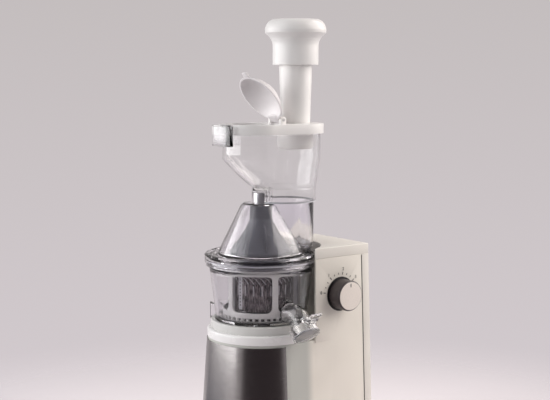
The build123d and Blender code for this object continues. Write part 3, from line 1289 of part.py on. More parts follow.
def pusher_shaft():
    """Hollow tapered plunger with a guide ring at its foot and a plug for the grip."""
    top = KNOB_BASE_Z + PUSHER_PLUG
    foot_wall, head_wall = PUSHER_WALL
    shaft = cone(PUSHER_FOOT_R, PUSHER_TOP_R, PUSHER_FOOT_Z, KNOB_BASE_Z, 0, PUSHER_Y)
    guide_r = PUSHER_TOP_R + PUSHER_GAP - PUSHER_RUN
    shaft += cyl(guide_r, PUSHER_FOOT_Z, PUSHER_FOOT_Z + PUSHER_RING, 0, PUSHER_Y)
    shaft += cyl(PUSHER_TOP_R - GRIP_WALL, KNOB_BASE_Z, top, 0, PUSHER_Y)
    low = PUSHER_FOOT_Z + PUSHER_FLOOR
    return shaft - cone(PUSHER_FOOT_R - foot_wall, PUSHER_TOP_R - head_wall, low, top + 1, 0, PUSHER_Y)


def grip_profile(inset, waist_steps=6, crown_steps=5):
    """Mushroom grip: straight skirt, concave waist, rounded crown."""
    top = KNOB_TOP_Z - inset
    skirt, widest = GRIP_SKIRT_R - inset, GRIP_R - inset
    neck_z, crown_z = KNOB_BASE_Z + GRIP_SKIRT, KNOB_TOP_Z - GRIP_CROWN
    points = [(skirt, neck_z)]
    for i in range(1, waist_steps + 1):
        swing = pi / 2 * i / waist_steps
        points.append((skirt + (widest - skirt) * (1 - cos(swing)), neck_z + (crown_z - neck_z) * sin(swing)))
    for i in range(1, crown_steps + 1):
        swing = pi / 2 * i / crown_steps
        points.append((widest - GRIP_ROUND * (1 - cos(swing)), crown_z + (top - crown_z) * sin(swing)))
    return points


def pusher_knob():
    """Hollow grip that fits over the head of the shaft."""
    outer = [(0, KNOB_BASE_Z), (GRIP_SKIRT_R, KNOB_BASE_Z), *grip_profile(0), (0, KNOB_TOP_Z)]
    body = turned(outer, 0, PUSHER_Y)
    low = KNOB_BASE_Z + GRIP_WALL
    inner = [(0, low), (GRIP_SKIRT_R - GRIP_WALL, low), *grip_profile(GRIP_WALL), (0, KNOB_TOP_Z - GRIP_WALL)]
    body -= turned(inner, 0, PUSHER_Y)
    return body - cyl(PUSHER_TOP_R - GRIP_WALL + SEAT_FIT, KNOB_BASE_Z - 1, low + 1, 0, PUSHER_Y)


# ---- Writing ---------------------------------------------------------------------------------
# The outline reaches from the pulp outlet on the left to the spout's cap on the right.
AUGER_X = (DUCT_REACH - spout_cap().bounding_box().max.X) / 2


def save(name, shape):
    placed = Pos(AUGER_X, AUGER_Y, 0) * shape
    placed.label = name
    export_step(placed, f"parts/{name}.step")


def main():
    os.makedirs("parts", exist_ok=True)
    shell = casing_shell()
    save("main_housing", main_housing(shell))
    save("rear_cover", rear_cover(shell))
    fixed = [
        cord_inlet, tower_cap, front_panel, base_deck, neck_ring, bottom_cover, feet, cover_screws,
        dial_ring, speed_control, control_board, motor_mounts, end_bell, motor_can, magnets,
        bearings, gearbox_plate, ring_gear, gearbox_lid, shaft_seal,
    ]
    moving = [
        control_knob, rotor_core, motor_shaft, cooling_fan, first_carrier, output_shaft,
        juicing_bowl, juice_spout, pulp_duct, pulp_plug, lid_seal, spout_cap, cap_seal, cap_pin,
        strainer_mesh, strainer_frame, brush_frame, wiper_blades, brush_pinion,
        auger, auger_socket, lower_lid, lid_bush, hopper_seal, hopper, cover_latch,
        top_cover, flap_pin, feed_flap, pusher_shaft, pusher_knob,
    ]
    for piece in fixed + moving:
        save(piece.__name__, piece())
    for index in range(PLANETS):
        save(f"first_planet_{index + 1}", planet(FIRST_Z, index))
        save(f"second_planet_{index + 1}", planet(SECOND_Z, index))


if __name__ == "__main__":
    main()
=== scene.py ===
import math

import bmesh
import bpy
from mathutils import Matrix, Vector

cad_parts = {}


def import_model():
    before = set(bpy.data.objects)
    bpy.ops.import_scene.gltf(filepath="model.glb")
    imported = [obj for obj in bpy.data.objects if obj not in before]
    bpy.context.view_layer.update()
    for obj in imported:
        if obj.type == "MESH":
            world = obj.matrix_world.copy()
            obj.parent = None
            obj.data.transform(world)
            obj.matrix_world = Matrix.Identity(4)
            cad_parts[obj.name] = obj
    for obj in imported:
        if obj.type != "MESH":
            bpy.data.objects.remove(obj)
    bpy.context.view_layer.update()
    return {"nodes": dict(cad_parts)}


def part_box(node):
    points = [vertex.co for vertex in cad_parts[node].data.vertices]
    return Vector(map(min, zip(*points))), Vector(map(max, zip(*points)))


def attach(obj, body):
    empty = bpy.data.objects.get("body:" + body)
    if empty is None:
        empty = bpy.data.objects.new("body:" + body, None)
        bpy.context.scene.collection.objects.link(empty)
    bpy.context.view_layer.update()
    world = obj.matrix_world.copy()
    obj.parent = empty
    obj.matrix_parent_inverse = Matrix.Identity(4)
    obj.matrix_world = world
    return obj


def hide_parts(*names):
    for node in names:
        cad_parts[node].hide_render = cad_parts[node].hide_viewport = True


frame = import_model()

# ---- Sizes, in millimetres about the screw's axis, and the way into the frame --------------------
MM = 0.001
AXIS_LINE = 0.01
UPRIGHT = Matrix.Identity(4)
SCREW_LOW, SCREW_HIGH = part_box("auger")
AXIS_X = (SCREW_LOW.x + SCREW_HIGH.x) / 2
AXIS_Y = (SCREW_LOW.y + SCREW_HIGH.y) / 2
SEGMENTS = 144


def at(x, y, z):
    """A point given in millimetres about the screw's axis, in the frame's metres."""
    return Vector((AXIS_X + x * MM, AXIS_Y + y * MM, z * MM))


def low_z(node):
    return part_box(node)[0].z / MM


def high_z(node):
    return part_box(node)[1].z / MM


def half_width(node):
    low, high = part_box(node)
    return (high.x - low.x) / 2 / MM


BOWL_FOOT_Z = low_z("juicing_bowl")
BOWL_FLOOR_Z = BOWL_FOOT_Z + 3.0
BOWL_RIM_Z = low_z("lid_seal")
BOWL_FLOOR_R = 61.0
BOWL_RIM_R = half_width("lid_seal")
BOWL_WALL = 3.0
BRUSH_R = half_width("brush_frame")
BRUSH_LOW_Z = low_z("brush_frame")
BRUSH_TOP_Z = high_z("brush_frame")
BRUSH_TURN = -51.0
BRUSH_WINDOWS = 5
STRAINER_R = half_width("strainer_mesh")
STRAINER_LOW_Z = low_z("strainer_mesh")
STRAINER_TOP_Z = high_z("strainer_mesh")
AUGER_R = half_width("auger")
AUGER_NECK_R = 15.0
NECK_R = half_width("neck_ring")
NECK_LOW_Z = low_z("neck_ring")
NECK_TOP_Z = high_z("neck_ring")
DECK_R = half_width("base_deck")
DECK_LOW_Z = low_z("base_deck")
PANEL_LOW_Z = low_z("front_panel")
PANEL_TOP_Z = high_z("front_panel")
KNOB_LOW, KNOB_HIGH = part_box("control_knob")
KNOB_R = (KNOB_HIGH.z - KNOB_LOW.z) / 2 / MM
KNOB_ROOT_X = (KNOB_LOW.x - AXIS_X) / MM
PUSHER_Y = 58.0
GRIP_LOW_Z = low_z("pusher_knob")
GRIP_TOP_Z = high_z("pusher_knob")
GRIP_R = half_width("pusher_knob")
HOPPER_LOW_Z = low_z("hopper")
HOPPER_TOP_Z = high_z("hopper")

# ---- Camera --------------------------------------------------------------------------------------
EYE_DISTANCE = 1.45
EYE_AZIMUTH = math.radians(54.0)
EYE_HEIGHT = 0.537
EYE_PITCH = math.radians(6.17)
EYE_YAW = math.radians(0.74)
LENS = 71.3


def make_camera():
    data = bpy.data.cameras.new("camera")
    data.lens = LENS
    data.sensor_width = 36.0
    data.clip_start = 0.05
    camera = bpy.data.objects.new("camera", data)
    bpy.context.scene.collection.objects.link(camera)
    away = Vector((math.sin(EYE_AZIMUTH), -math.cos(EYE_AZIMUTH), 0))
    camera.location = at(0, 0, 0) + away * EYE_DISTANCE + Vector((0, 0, EYE_HEIGHT))
    camera.rotation_euler = (math.pi / 2 - EYE_PITCH, 0, EYE_AZIMUTH - EYE_YAW)
    bpy.context.scene.camera = camera


# ---- Shader maths --------------------------------------------------------------------------------
class Value:
    """A number socket that builds Math nodes from Python expressions."""

    def __init__(self, paint, socket):
        self.paint = paint
        self.socket = socket

    def _math(self, operation, a, b):
        return self.paint.node("ShaderNodeMath", {"operation": operation}, {0: a, 1: b})

    def __add__(self, other):
        return self._math("ADD", self, other)

    def __sub__(self, other):
        return self._math("SUBTRACT", self, other)

    def __mul__(self, other):
        return self._math("MULTIPLY", self, other)

    def __pow__(self, other):
        return self._math("POWER", self, other)

    def __rsub__(self, other):
        return self._math("SUBTRACT", other, self)

    __radd__ = __add__
    __rmul__ = __mul__

    def clamp(self, low, high, start=0.0, end=1.0):
        """Smooth step from start to end while the value runs from low to high."""
        span = {"Value": self, "From Min": low, "From Max": high, "To Min": start, "To Max": end}
        return self.paint.node("ShaderNodeMapRange", {"interpolation_type": "SMOOTHSTEP"}, span)


class Paint:
    """One node material on a Principled shader."""

    def __init__(self, name, base, roughness, metallic=0.0, **plain):
        self.material = bpy.data.materials.new(name)
        self.material.use_nodes = True
        self.tree = self.material.node_tree
        self.shader = self.tree.nodes["Principled BSDF"]
        self.set("Base Color", colour(base) if isinstance(base, tuple) else base)
        self.set("Roughness", roughness)
        self.set("Metallic", metallic)
        for key, value in plain.items():
            self.set(key.replace("_", " "), value)
        self.place = Value(self, self.raw("ShaderNodeTexCoord").outputs["Object"])

    def raw(self, kind, settings=None, inputs=None):
        node = self.tree.nodes.new(kind)
        for key, value in (settings or {}).items():
            if key == "stops":
                ramp(node, value)
            else:
                setattr(node, key, value)
        for key, value in (inputs or {}).items():
            self.feed(node.inputs[key], value)
        return node

    def node(self, kind, settings=None, inputs=None, out=0):
        return Value(self, self.raw(kind, settings, inputs).outputs[out])

    def feed(self, socket, value):
        if isinstance(value, Value):
            self.tree.links.new(value.socket, socket)
        else:
            socket.default_value = value

    def set(self, name, value):
        self.feed(self.shader.inputs[name], value)

    def scaled(self, x, y, z):
        """Object position in metres, stretched along each axis."""
        return self.node("ShaderNodeMapping", {}, {"Vector": self.place, "Scale": (x, y, z)})

    def noise(self, scale, detail=3.0, rough=0.5, where=None):
        inputs = {"Vector": where or self.place, "Scale": scale, "Detail": detail, "Roughness": rough}
        return self.node("ShaderNodeTexNoise", {}, inputs)

    def axis(self, letter):
        split = self.raw("ShaderNodeSeparateXYZ", {}, {"Vector": self.place})
        return Value(self, split.outputs[letter])

    def blend(self, factor, low, high):
        """Colour that runs from low to high with the factor."""
        inputs = {"Factor": factor, 6: tint(low), 7: tint(high)}
        return self.node("ShaderNodeMix", {"data_type": "RGBA"}, inputs, out=2)

    def bump(self, height, distance, strength=1.0):
        inputs = {"Height": height, "Distance": distance, "Strength": strength}
        self.set("Normal", self.node("ShaderNodeBump", {}, inputs))


def ramp(node, stops):
    elements = node.color_ramp.elements
    while len(elements) < len(stops):
        elements.new(0.5)
    for element, (position, shade) in zip(elements, stops):
        element.position = position
        element.color = shade


def linear(channel):
    c = channel / 255.0
    return c / 12.92 if c <= 0.04045 else ((c + 0.055) / 1.055) ** 2.4


def colour(rgb, alpha=1.0):
    """Display colour 0-255 to the shader's linear values."""
    return tuple(linear(c) for c in rgb) + (alpha,)


def tint(value):
    return colour(value) if isinstance(value, tuple) else value


# ---- Materials -----------------------------------------------------------------------------------
# Painted shade on the housing: the greyer colour of the column's front, and where it ends behind the axis,
# in metres.
PAINTED_SHADE_BACK = 0.027
PAINTED_COLUMN_SHADE = (190, 190, 184)


def moulded_white(name, light, dark, roughness=0.3):
    """Glossy moulded plastic with faint clouding and a fine moulded skin."""
    p = Paint(name, light, roughness)
    cloud = p.noise(9.0, 2.0)
    p.set("Base Color", p.blend(cloud.clamp(0.35, 0.7), light, dark))
    p.set("Roughness", roughness + 0.12 * p.noise(60.0, 3.0))
    p.bump(p.noise(900.0, 2.0), 0.0002, 0.12)
    return p.material


def column_white(name):
    """Housing plastic with painted shade: the column's sides are painted greyer than the tower behind it.
    """
    p = Paint(name, (238, 234, 229), 0.38)
    cloud = p.noise(9.0, 2.0).clamp(0.35, 0.7)
    # Painted shade: the column takes the greyer colour, fading into the tower's colour between about 18 and
    # 33 mm behind the axis.
    column = p.blend(cloud, PAINTED_COLUMN_SHADE, tuple(c - 6 for c in PAINTED_COLUMN_SHADE))
    tower = p.blend(cloud, (234, 228, 218), (226, 220, 210))
    behind = (p.axis("Y") - AXIS_Y).clamp(PAINTED_SHADE_BACK - 0.009, PAINTED_SHADE_BACK + 0.006)
    p.set("Base Color", p.blend(behind, column, tower))
    p.set("Roughness", 0.38 + 0.12 * p.noise(60.0, 3.0))
    p.bump(p.noise(900.0, 2.0), 0.0002, 0.12)
    return p.material


def clear_plastic(name, shade, rough=0.03):
    """Clear moulding that bends what lies behind it; its wall drifts a little in tint and polish."""
    p = Paint(name, shade, rough, IOR=1.45, Transmission_Weight=1.0)
    ripple = p.noise(26.0, 1.0)
    p.set("Base Color", p.blend(ripple.clamp(0.3, 0.7), shade, tuple(c - 3 for c in shade)))
    p.set("Roughness", rough + 0.04 * p.noise(120.0, 2.0))
    p.bump(ripple, 0.003, 0.06)
    return p.material


def brushed_wrap(name):
    """Stainless sheet, brushed round the column, with faint handling marks."""
    p = Paint(name, (150, 147, 146), 0.2, 1.0, Anisotropic=0.55, Anisotropic_Rotation=0.25)
    grain = p.noise(1.0, 4.0, 0.6, p.scaled(60, 60, 2600))
    smear = p.noise(14.0, 3.0)
    p.set("Base Color", p.blend(grain.clamp(0.3, 0.7), (160, 157, 156), (138, 135, 135)))
    p.set("Roughness", 0.2 + 0.08 * grain + 0.03 * smear)
    p.bump(grain, 0.0002, 0.12)
    return p.material


def spun_metal(name, face=(214, 206, 198)):
    """Turned aluminium with rings about the knob's axis."""
    p = Paint(name, face, 0.28, 0.12, Anisotropic=0.6)
    centre = (KNOB_LOW + KNOB_HIGH) / 2
    y = p.axis("Y") - centre.y
    z = p.axis("Z") - centre.z
    radius = (y * y + z * z) ** 0.5
    lathed = {"W": radius, "Scale": 2600.0, "Detail": 2.0}
    rings = p.node("ShaderNodeTexNoise", {"noise_dimensions": "1D"}, lathed)
    p.set("Base Color", p.blend(rings.clamp(0.3, 0.7), face, tuple(c - 22 for c in face)))
    p.set("Roughness", 0.34 + 0.2 * rings)
    p.bump(rings, 0.0001, 0.3)
    return p.material


def dark_steel(name, light=(118, 112, 112), dark=(58, 53, 55), stretch=(700, 700, 60), sharp=(0.3, 0.75)):
    p = Paint(name, light, 0.3, 0.9)
    grain = p.noise(1.0, 3.0, 0.5, p.scaled(*stretch))
    p.set("Base Color", p.blend(grain.clamp(*sharp), light, dark))
    p.set("Roughness", 0.22 + 0.25 * p.noise(90.0, 2.0))
    p.bump(grain, 0.0002, 0.2)
    return p.material


def satin(name, light, dark, roughness=0.42, grain=1400.0, scale=22.0):
    """Satin moulding with slow colour drift and a fine grained skin."""
    p = Paint(name, light, roughness, Specular_IOR_Level=0.5)
    p.set("Base Color", p.blend(p.noise(scale, 3.0).clamp(0.3, 0.72), light, dark))
    p.set("Roughness", roughness + 0.14 * p.noise(140.0, 2.0) - 0.05)
    p.bump(p.noise(grain, 2.0), 0.0002, 0.25)
    return p.material


def machined(name, light=(178, 177, 178), dark=(138, 137, 140)):
    p = Paint(name, light, 0.3, 1.0)
    turned = p.noise(1.0, 2.0, 0.5, p.scaled(200, 200, 3000))
    p.set("Base Color", p.blend(turned.clamp(0.3, 0.7), light, dark))
    p.set("Roughness", 0.22 + 0.2 * turned)
    p.bump(turned, 0.0001, 0.2)
    return p.material


def laminate(name):
    """Circuit board: green coat over a faint weave."""
    p = Paint(name, (22, 92, 52), 0.35, Coat_Weight=0.3)
    cells = p.node("ShaderNodeTexVoronoi", {"distance": "MANHATTAN"}, {"Vector": p.place, "Scale": 160.0})
    p.set("Base Color", p.blend(cells.clamp(0.1, 0.35), (48, 132, 84), (18, 78, 44)))
    p.set("Roughness", 0.3 + 0.15 * p.noise(300.0))
    p.bump(cells, 0.0003, 0.3)
    return p.material


M = {}


def make_materials():
    M["white"] = moulded_white("white_plastic", (240, 238, 236), (232, 229, 227), 0.26)
    M["cheek"] = moulded_white("cheek_plastic", (235, 230, 222), (227, 222, 214), 0.38)
    M["housing"] = column_white("housing_plastic_painted_shade")
    M["collar"] = moulded_white("collar_plastic", (240, 238, 237), (232, 230, 229), 0.2)
    # Painted shade: the neck band is a greyer copy of the white moulding.
    M["neck"] = moulded_white("neck_plastic_painted_shade", (216, 215, 212), (207, 206, 203), 0.24)
    M["flap"] = moulded_white("flap_plastic", (238, 234, 234), (228, 223, 224), 0.3)
    M["clear"] = clear_plastic("clear_plastic", (253, 253, 253))
    M["clear_latch"] = clear_plastic("clear_latch_plastic", (250, 250, 251), 0.16)
    M["clear_lid"] = clear_plastic("clear_lid_plastic", (250, 249, 252), 0.05)
    M["clear_bowl"] = clear_plastic("clear_bowl_plastic", (248, 247, 249))
    M["steel"] = brushed_wrap("brushed_steel")
    M["knob_face"] = spun_metal("spun_aluminium", (252, 243, 234))
    M["knob_side"] = satin("knob_rim", (70, 62, 63), (58, 50, 51), 0.34)
    M["mesh"] = dark_steel("strainer_steel", (132, 124, 126), (46, 42, 45), (760, 760, 120), (0.36, 0.6))
    # Painted highlight: the ribs and ridges take a lighter steel than the sheet they are pressed from.
    M["rib"] = dark_steel("strainer_rib_steel_painted_highlight", (190, 188, 192), (150, 147, 152))
    M["brush"] = satin("brush_plastic", (232, 231, 229), (222, 222, 221), 0.36)
    M["screw"] = satin("screw_plastic", (78, 80, 90), (64, 65, 75), 0.42, 900.0, 12.0)
    M["silicone"] = satin("silicone", (196, 196, 200), (180, 180, 186), 0.5)
    M["black"] = satin("black_plastic", (34, 32, 33), (24, 23, 24), 0.4)
    M["print"] = satin("printed_ink", (52, 48, 48), (40, 37, 37), 0.5)
    M["rubber"] = satin("rubber", (38, 37, 38), (28, 27, 28), 0.6, 700.0)
    M["machined"] = machined("machined_steel")
    M["cast"] = satin("cast_aluminium", (170, 170, 173), (148, 148, 152), 0.45, 500.0)
    M["dark_can"] = dark_steel("motor_can_steel", (150, 150, 152), (112, 112, 115))
    M["magnet"] = satin("sintered_magnet", (70, 69, 72), (52, 51, 54), 0.5, 600.0)
    M["nylon"] = satin("nylon", (222, 216, 198), (206, 199, 180), 0.4)
    M["board"] = laminate("circuit_board")


# ---- Mesh helpers --------------------------------------------------------------------------------
def add_mesh(name, verts, faces, material, body, replaces=(), smooth=35.0):
    """New piece from frame coordinates, riding on its body."""
    mesh = bpy.data.meshes.new(name)
    mesh.from_pydata([tuple(v) for v in verts], [], faces)
    mesh.validate()
    piece = bpy.data.objects.new(name, mesh)
    bpy.context.scene.collection.objects.link(piece)
    finish_mesh(piece, smooth)
    mesh.materials.append(M[material])
    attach(piece, body)
    if replaces:
        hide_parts(*replaces)
    return piece


def finish_mesh(piece, smooth=35.0):
    """Welded, outward-facing mesh, smooth up to the given angle."""
    bm = bmesh.new()
    bm.from_mesh(piece.data)
    bmesh.ops.remove_doubles(bm, verts=bm.verts, dist=1e-6)
    bmesh.ops.recalc_face_normals(bm, faces=bm.faces)
    bm.to_mesh(piece.data)
    bm.free()
    piece.data.polygons.foreach_set("use_smooth", [True] * len(piece.data.polygons))
    if smooth:
        with bpy.context.temp_override(object=piece, active_object=piece, selected_objects=[piece],
                                       selected_editable_objects=[piece]):
            bpy.ops.object.shade_smooth_by_angle(angle=math.radians(smooth))


def apply_modifiers(piece):
    graph = bpy.context.evaluated_depsgraph_get()
    mesh = bpy.data.meshes.new_from_object(piece.evaluated_get(graph))
    piece.modifiers.clear()
    piece.data = mesh


def rounded(points, radius, steps=4):
    """Closed (r, z) outline with its corners rounded; a third number is a corner's own radius."""
    result = []
    count = len(points)
    for i, corner in enumerate(points):
        here = Vector(corner[:2])
        back = Vector(points[i - 1][:2]) - here
        on = Vector(points[(i + 1) % count][:2]) - here
        if corner[0] < AXIS_LINE:
            result.append(tuple(here))
            continue
        own = corner[2] if len(corner) > 2 else radius
        reach = min(own, back.length * 0.45, on.length * 0.45)
        start, end = here + back.normalized() * reach, here + on.normalized() * reach
        for k in range(steps + 1):
            t = k / steps
            result.append(tuple((1 - t) ** 2 * start + 2 * t * (1 - t) * here + t * t * end))
    return result


def lathe(name, outline, material, body, centre=(0.0, 0.0), replaces=(), segments=SEGMENTS,
          start=0.0, arc=360.0, smooth=35.0, wave=None, place=UPRIGHT):
    """Closed (r, z) outline turned about an upright axis; wave(angle, r, z) may move a point."""
    whole = arc >= 360.0
    turns = segments if whole else segments + 1
    verts, faces = [], []
    count = len(outline)
    for i in range(turns):
        angle = math.radians(start + arc * i / segments)
        for r, z in outline:
            if wave:
                r, z = wave(angle, r, z)
            point = Vector((centre[0] + r * math.cos(angle), centre[1] + r * math.sin(angle), z))
            verts.append(at(*(place @ point)))
    for i in range(turns if whole else turns - 1):
        a, b = i * count, (i + 1) % turns * count
        for k in range(count):
            n = (k + 1) % count
            faces.append((a + k, b + k, b + n, a + n))
    if not whole:
        faces.append(tuple(range(count)))
        faces.append(tuple(range((turns - 1) * count, turns * count))[::-1])
    return add_mesh(name, verts, faces, material, body, replaces, smooth)


def skin(name, rings, material, body, replaces=(), closed=True, smooth=40.0):
    """Rings of equal count joined in order; closed joins the last to the first."""
    verts = [at(*p) for ring in rings for p in ring]
    count = len(rings[0])
    faces = []
    for i in range(len(rings) if closed else len(rings) - 1):
        a, b = i * count, (i + 1) % len(rings) * count
        for k in range(count):
            n = (k + 1) % count
            faces.append((a + k, a + n, b + n, b + k))
    if not closed:
        faces.append(tuple(range(count))[::-1])
        faces.append(tuple(range((len(rings) - 1) * count, len(rings) * count)))
    return add_mesh(name, verts, faces, material, body, replaces, smooth)


def resample(points, count):
    """Closed outline walked in equal steps."""
    loop = [Vector(p) for p in points] + [Vector(points[0])]
    lengths = [(b - a).length for a, b in zip(loop, loop[1:])]
    step = sum(lengths) / count
    result, index, used = [], 0, 0.0
    for i in range(count):
        goal = i * step
        while used + lengths[index] < goal:
            used += lengths[index]
            index += 1
        share = (goal - used) / lengths[index]
        result.append(tuple(loop[index].lerp(loop[index + 1], share)))
    return result


def hull_ring(z, y0, r0, y1, r1, count=SEGMENTS):
    """Outline round two circles on the centre plane, from its rearmost point."""
    lean = math.asin((r1 - r0) / (y1 - y0))
    points = []
    for i in range(65):
        angle = math.pi / 2 + (math.pi / 2 + lean) * i / 64
        points.append((r1 * math.cos(angle), y1 + r1 * math.sin(angle)))
    for i in range(129):
        angle = math.pi + lean + (math.pi - 2 * lean) * i / 128
        points.append((r0 * math.cos(angle), y0 + r0 * math.sin(angle)))
    for i in range(64):
        angle = -lean + (math.pi / 2 + lean) * i / 64
        points.append((r1 * math.cos(angle), y1 + r1 * math.sin(angle)))
    return [(x, y, z) for x, y in resample(points, count)]


def softened(node, name, material, body, width=0.8, segments=3, angle=30.0):
    """Copy of a rigid node with its hard edges eased, as a moulding's are."""
    source = frame["nodes"][node]
    piece = bpy.data.objects.new(name, source.data.copy())
    bpy.context.scene.collection.objects.link(piece)
    piece.data.materials.clear()
    piece.data.materials.append(M[material])
    bm = bmesh.new()
    bm.from_mesh(piece.data)
    bmesh.ops.remove_doubles(bm, verts=bm.verts, dist=2e-6)
    bmesh.ops.dissolve_limit(bm, angle_limit=math.radians(0.6), verts=bm.verts, edges=bm.edges)
    bm.to_mesh(piece.data)
    bm.free()
    bevel = piece.modifiers.new("ease", "BEVEL")
    bevel.width = width * MM
    bevel.segments = segments
    bevel.limit_method = "ANGLE"
    bevel.angle_limit = math.radians(angle)
    bevel.miter_outer = "MITER_ARC"
    apply_modifiers(piece)
    finish_mesh(piece, 35.0)
    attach(piece, body)
    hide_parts(node)
    return piece


def solid_box(name, low, high, material, body, replaces=(), width=0.6, place=UPRIGHT):
    """Box with eased edges between two corners in millimetres, then set in its place."""
    bm = bmesh.new()
    bmesh.ops.create_cube(bm, size=1.0)
    size = Vector(high) - Vector(low)
    middle = (Vector(high) + Vector(low)) / 2
    for v in bm.verts:
        v.co = Vector((v.co.x * size.x, v.co.y * size.y, v.co.z * size.z)) + middle
    bmesh.ops.bevel(bm, geom=bm.edges[:], offset=width, segments=3, profile=0.5, affect="EDGES")
    verts = [at(*(place @ v.co)) for v in bm.verts]
    faces = [tuple(v.index for v in f.verts) for f in bm.faces]
    bm.free()
    return add_mesh(name, verts, faces, material, body, replaces, 30.0)


def carve(piece, low, high):
    """Cuts an upright block, given by two corners in millimetres about the axis, out of a piece."""
    mesh = bpy.data.meshes.new("cutter")
    bm = bmesh.new()
    bmesh.ops.create_cube(bm, size=1.0)
    size, middle = at(*high) - at(*low), (at(*high) + at(*low)) / 2
    for v in bm.verts:
        v.co = Vector((v.co.x * size.x, v.co.y * size.y, v.co.z * size.z)) + middle
    bm.to_mesh(mesh)
    bm.free()
    cut_with(piece, mesh)


def cut_with(piece, mesh):
    cutter = bpy.data.objects.new("cutter", mesh)
    bpy.context.scene.collection.objects.link(cutter)
    boolean = piece.modifiers.new("cut", "BOOLEAN")
    boolean.operation = "DIFFERENCE"
    boolean.object = cutter
    boolean.solver = "EXACT"
    apply_modifiers(piece)
    bpy.data.objects.remove(cutter)
    finish_mesh(piece)


def bezier(a, b, c, d, steps):
    """Points from a to d on a cubic curve, a left out."""
    points = []
    for i in range(1, steps + 1):
        t = i / steps
        mix = [(1 - t) ** 3, 3 * t * (1 - t) ** 2, 3 * t * t * (1 - t), t**3]
        points.append(tuple(sum(m * p[k] for m, p in zip(mix, (a, b, c, d))) for k in range(len(a))))
    return points


# ---- Base ----------------------------------------------------------------------------------------
COLUMN_TOP_R = DECK_R - 0.8
PANEL_THICK = 1.2
PANEL_ARC = 160.0
PANEL_FOOT_R = AXIS_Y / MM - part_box("front_panel")[0].y / MM - PANEL_THICK
PANEL_HEAD_R = COLUMN_TOP_R + 0.31
NOTCH_HALF = 19.4
DIAL_SINK = 1.07
DIAL_START = 172
CHEEK_LEAN = 0.57
TICK_R = 27.6
NUMBER_R = 33.4
DIAL_TURN = Matrix(((0, 0, 1, 0), (1, 0, 0, 0), (0, 1, 0, 0), (0, 0, 0, 1)))
SEAM_FOOT = (78.0, 122.3, 6.0)
SEAM_HEAD = (75.0, 113.3, 305.0)
SEAM_DEPTH = 1.0
SEAM_LIP_X = 0.02
SEAM_PROUD = 0.14
SEAM_TONGUE = 0.28
SEAM_HALF = 0.7


def front_panel():
    foot, head = PANEL_FOOT_R, PANEL_HEAD_R
    outline = [
        (foot, PANEL_LOW_Z),
        (foot + PANEL_THICK, PANEL_LOW_Z),
        (head + PANEL_THICK, PANEL_TOP_Z),
        (head, PANEL_TOP_Z),
    ]
    lathe("front_panel_wrap", rounded(outline, 0.4, 3), "steel", "base", replaces=["front_panel"],
          segments=120, start=-90 - PANEL_ARC / 2, arc=PANEL_ARC)


def shoulder():
    """Deck on the column with its soft outer corner, and the neck ring that carries the bowl."""
    seat = DECK_LOW_Z + 5.0
    hub = high_z("base_deck")
    outline = [
        (9.0, DECK_LOW_Z),
        (DECK_R, DECK_LOW_Z),
        (DECK_R, NECK_LOW_Z, 3.6),
        (DECK_R - 7.0, NECK_LOW_Z),
        (DECK_R - 7.0, seat),
        (16.0, seat),
        (16.0, hub),
        (13.1, hub),
        (13.1, seat),
        (9.0, seat),
    ]
    deck = lathe("deck_shoulder", rounded(outline, 0.8), "collar", "base", replaces=["base_deck"])
    carve(deck, (-120, -NOTCH_HALF, seat), (-20, NOTCH_HALF, hub + 5))
    band = [
        (NECK_R - 6, NECK_LOW_Z),
        (NECK_R, NECK_LOW_Z, 0.4),
        (NECK_R, NECK_TOP_Z),
        (NECK_R - 6, NECK_TOP_Z),
    ]
    neck = lathe("neck_band", rounded(band, 1.0), "neck", "base", replaces=["neck_ring"])
    carve(neck, (-120, -NOTCH_HALF, NECK_LOW_Z - 1), (-20, NOTCH_HALF, NECK_TOP_Z + 1))


def knob():
    """Fluted knob with a turned face, its index mark and the dial's ticks."""
    length = (KNOB_HIGH.x - KNOB_LOW.x) / MM
    middle = (KNOB_LOW + KNOB_HIGH) / 2
    y, z = (middle.y - AXIS_Y) / MM, middle.z / MM
    place = Matrix.Translation((KNOB_ROOT_X, y, z)) @ Matrix.Rotation(math.radians(90), 4, "Y")
    outline = [
        (KNOB_R - 2, 0.0, 0.3),
        (KNOB_R, 0.0, 0.5),
        (KNOB_R, length - 1.6, 1.0),
        (KNOB_R - 1.6, length, 0.8),
        (0.0, length),
        (0.0, length - 3),
        (KNOB_R - 2, length - 3, 0.5),
    ]

    def flutes(angle, r, height):
        deep = 0.32 * (0.5 - 0.5 * math.cos(72 * angle))
        return (r - deep, height) if r > KNOB_R - 0.5 and 1 < height < length - 3 else (r, height)

    grip = [(r, h) for r, h in rounded(outline, 0.4)]
    lathe("control_knob_grip", grip, "knob_side", "knob", replaces=["control_knob"],
          segments=576, wave=flutes, place=place)
    face_r = KNOB_R - 1.9
    face = [(0.0, length - 0.2), (face_r, length - 0.2), (face_r, length + 0.25, 0.2), (0.0, length + 0.2)]
    lathe("control_knob_face", rounded(face, 0.1), "knob_face", "knob", place=place)
    mark = place @ Matrix.Translation((-KNOB_R + 6.2, 0, length + 0.3))
    solid_box("knob_index_mark", (-2.3, -0.6, -0.15), (2.3, 0.6, 0.15), "print", "knob",
              width=0.1, place=mark)
    dial_marks(y, z)


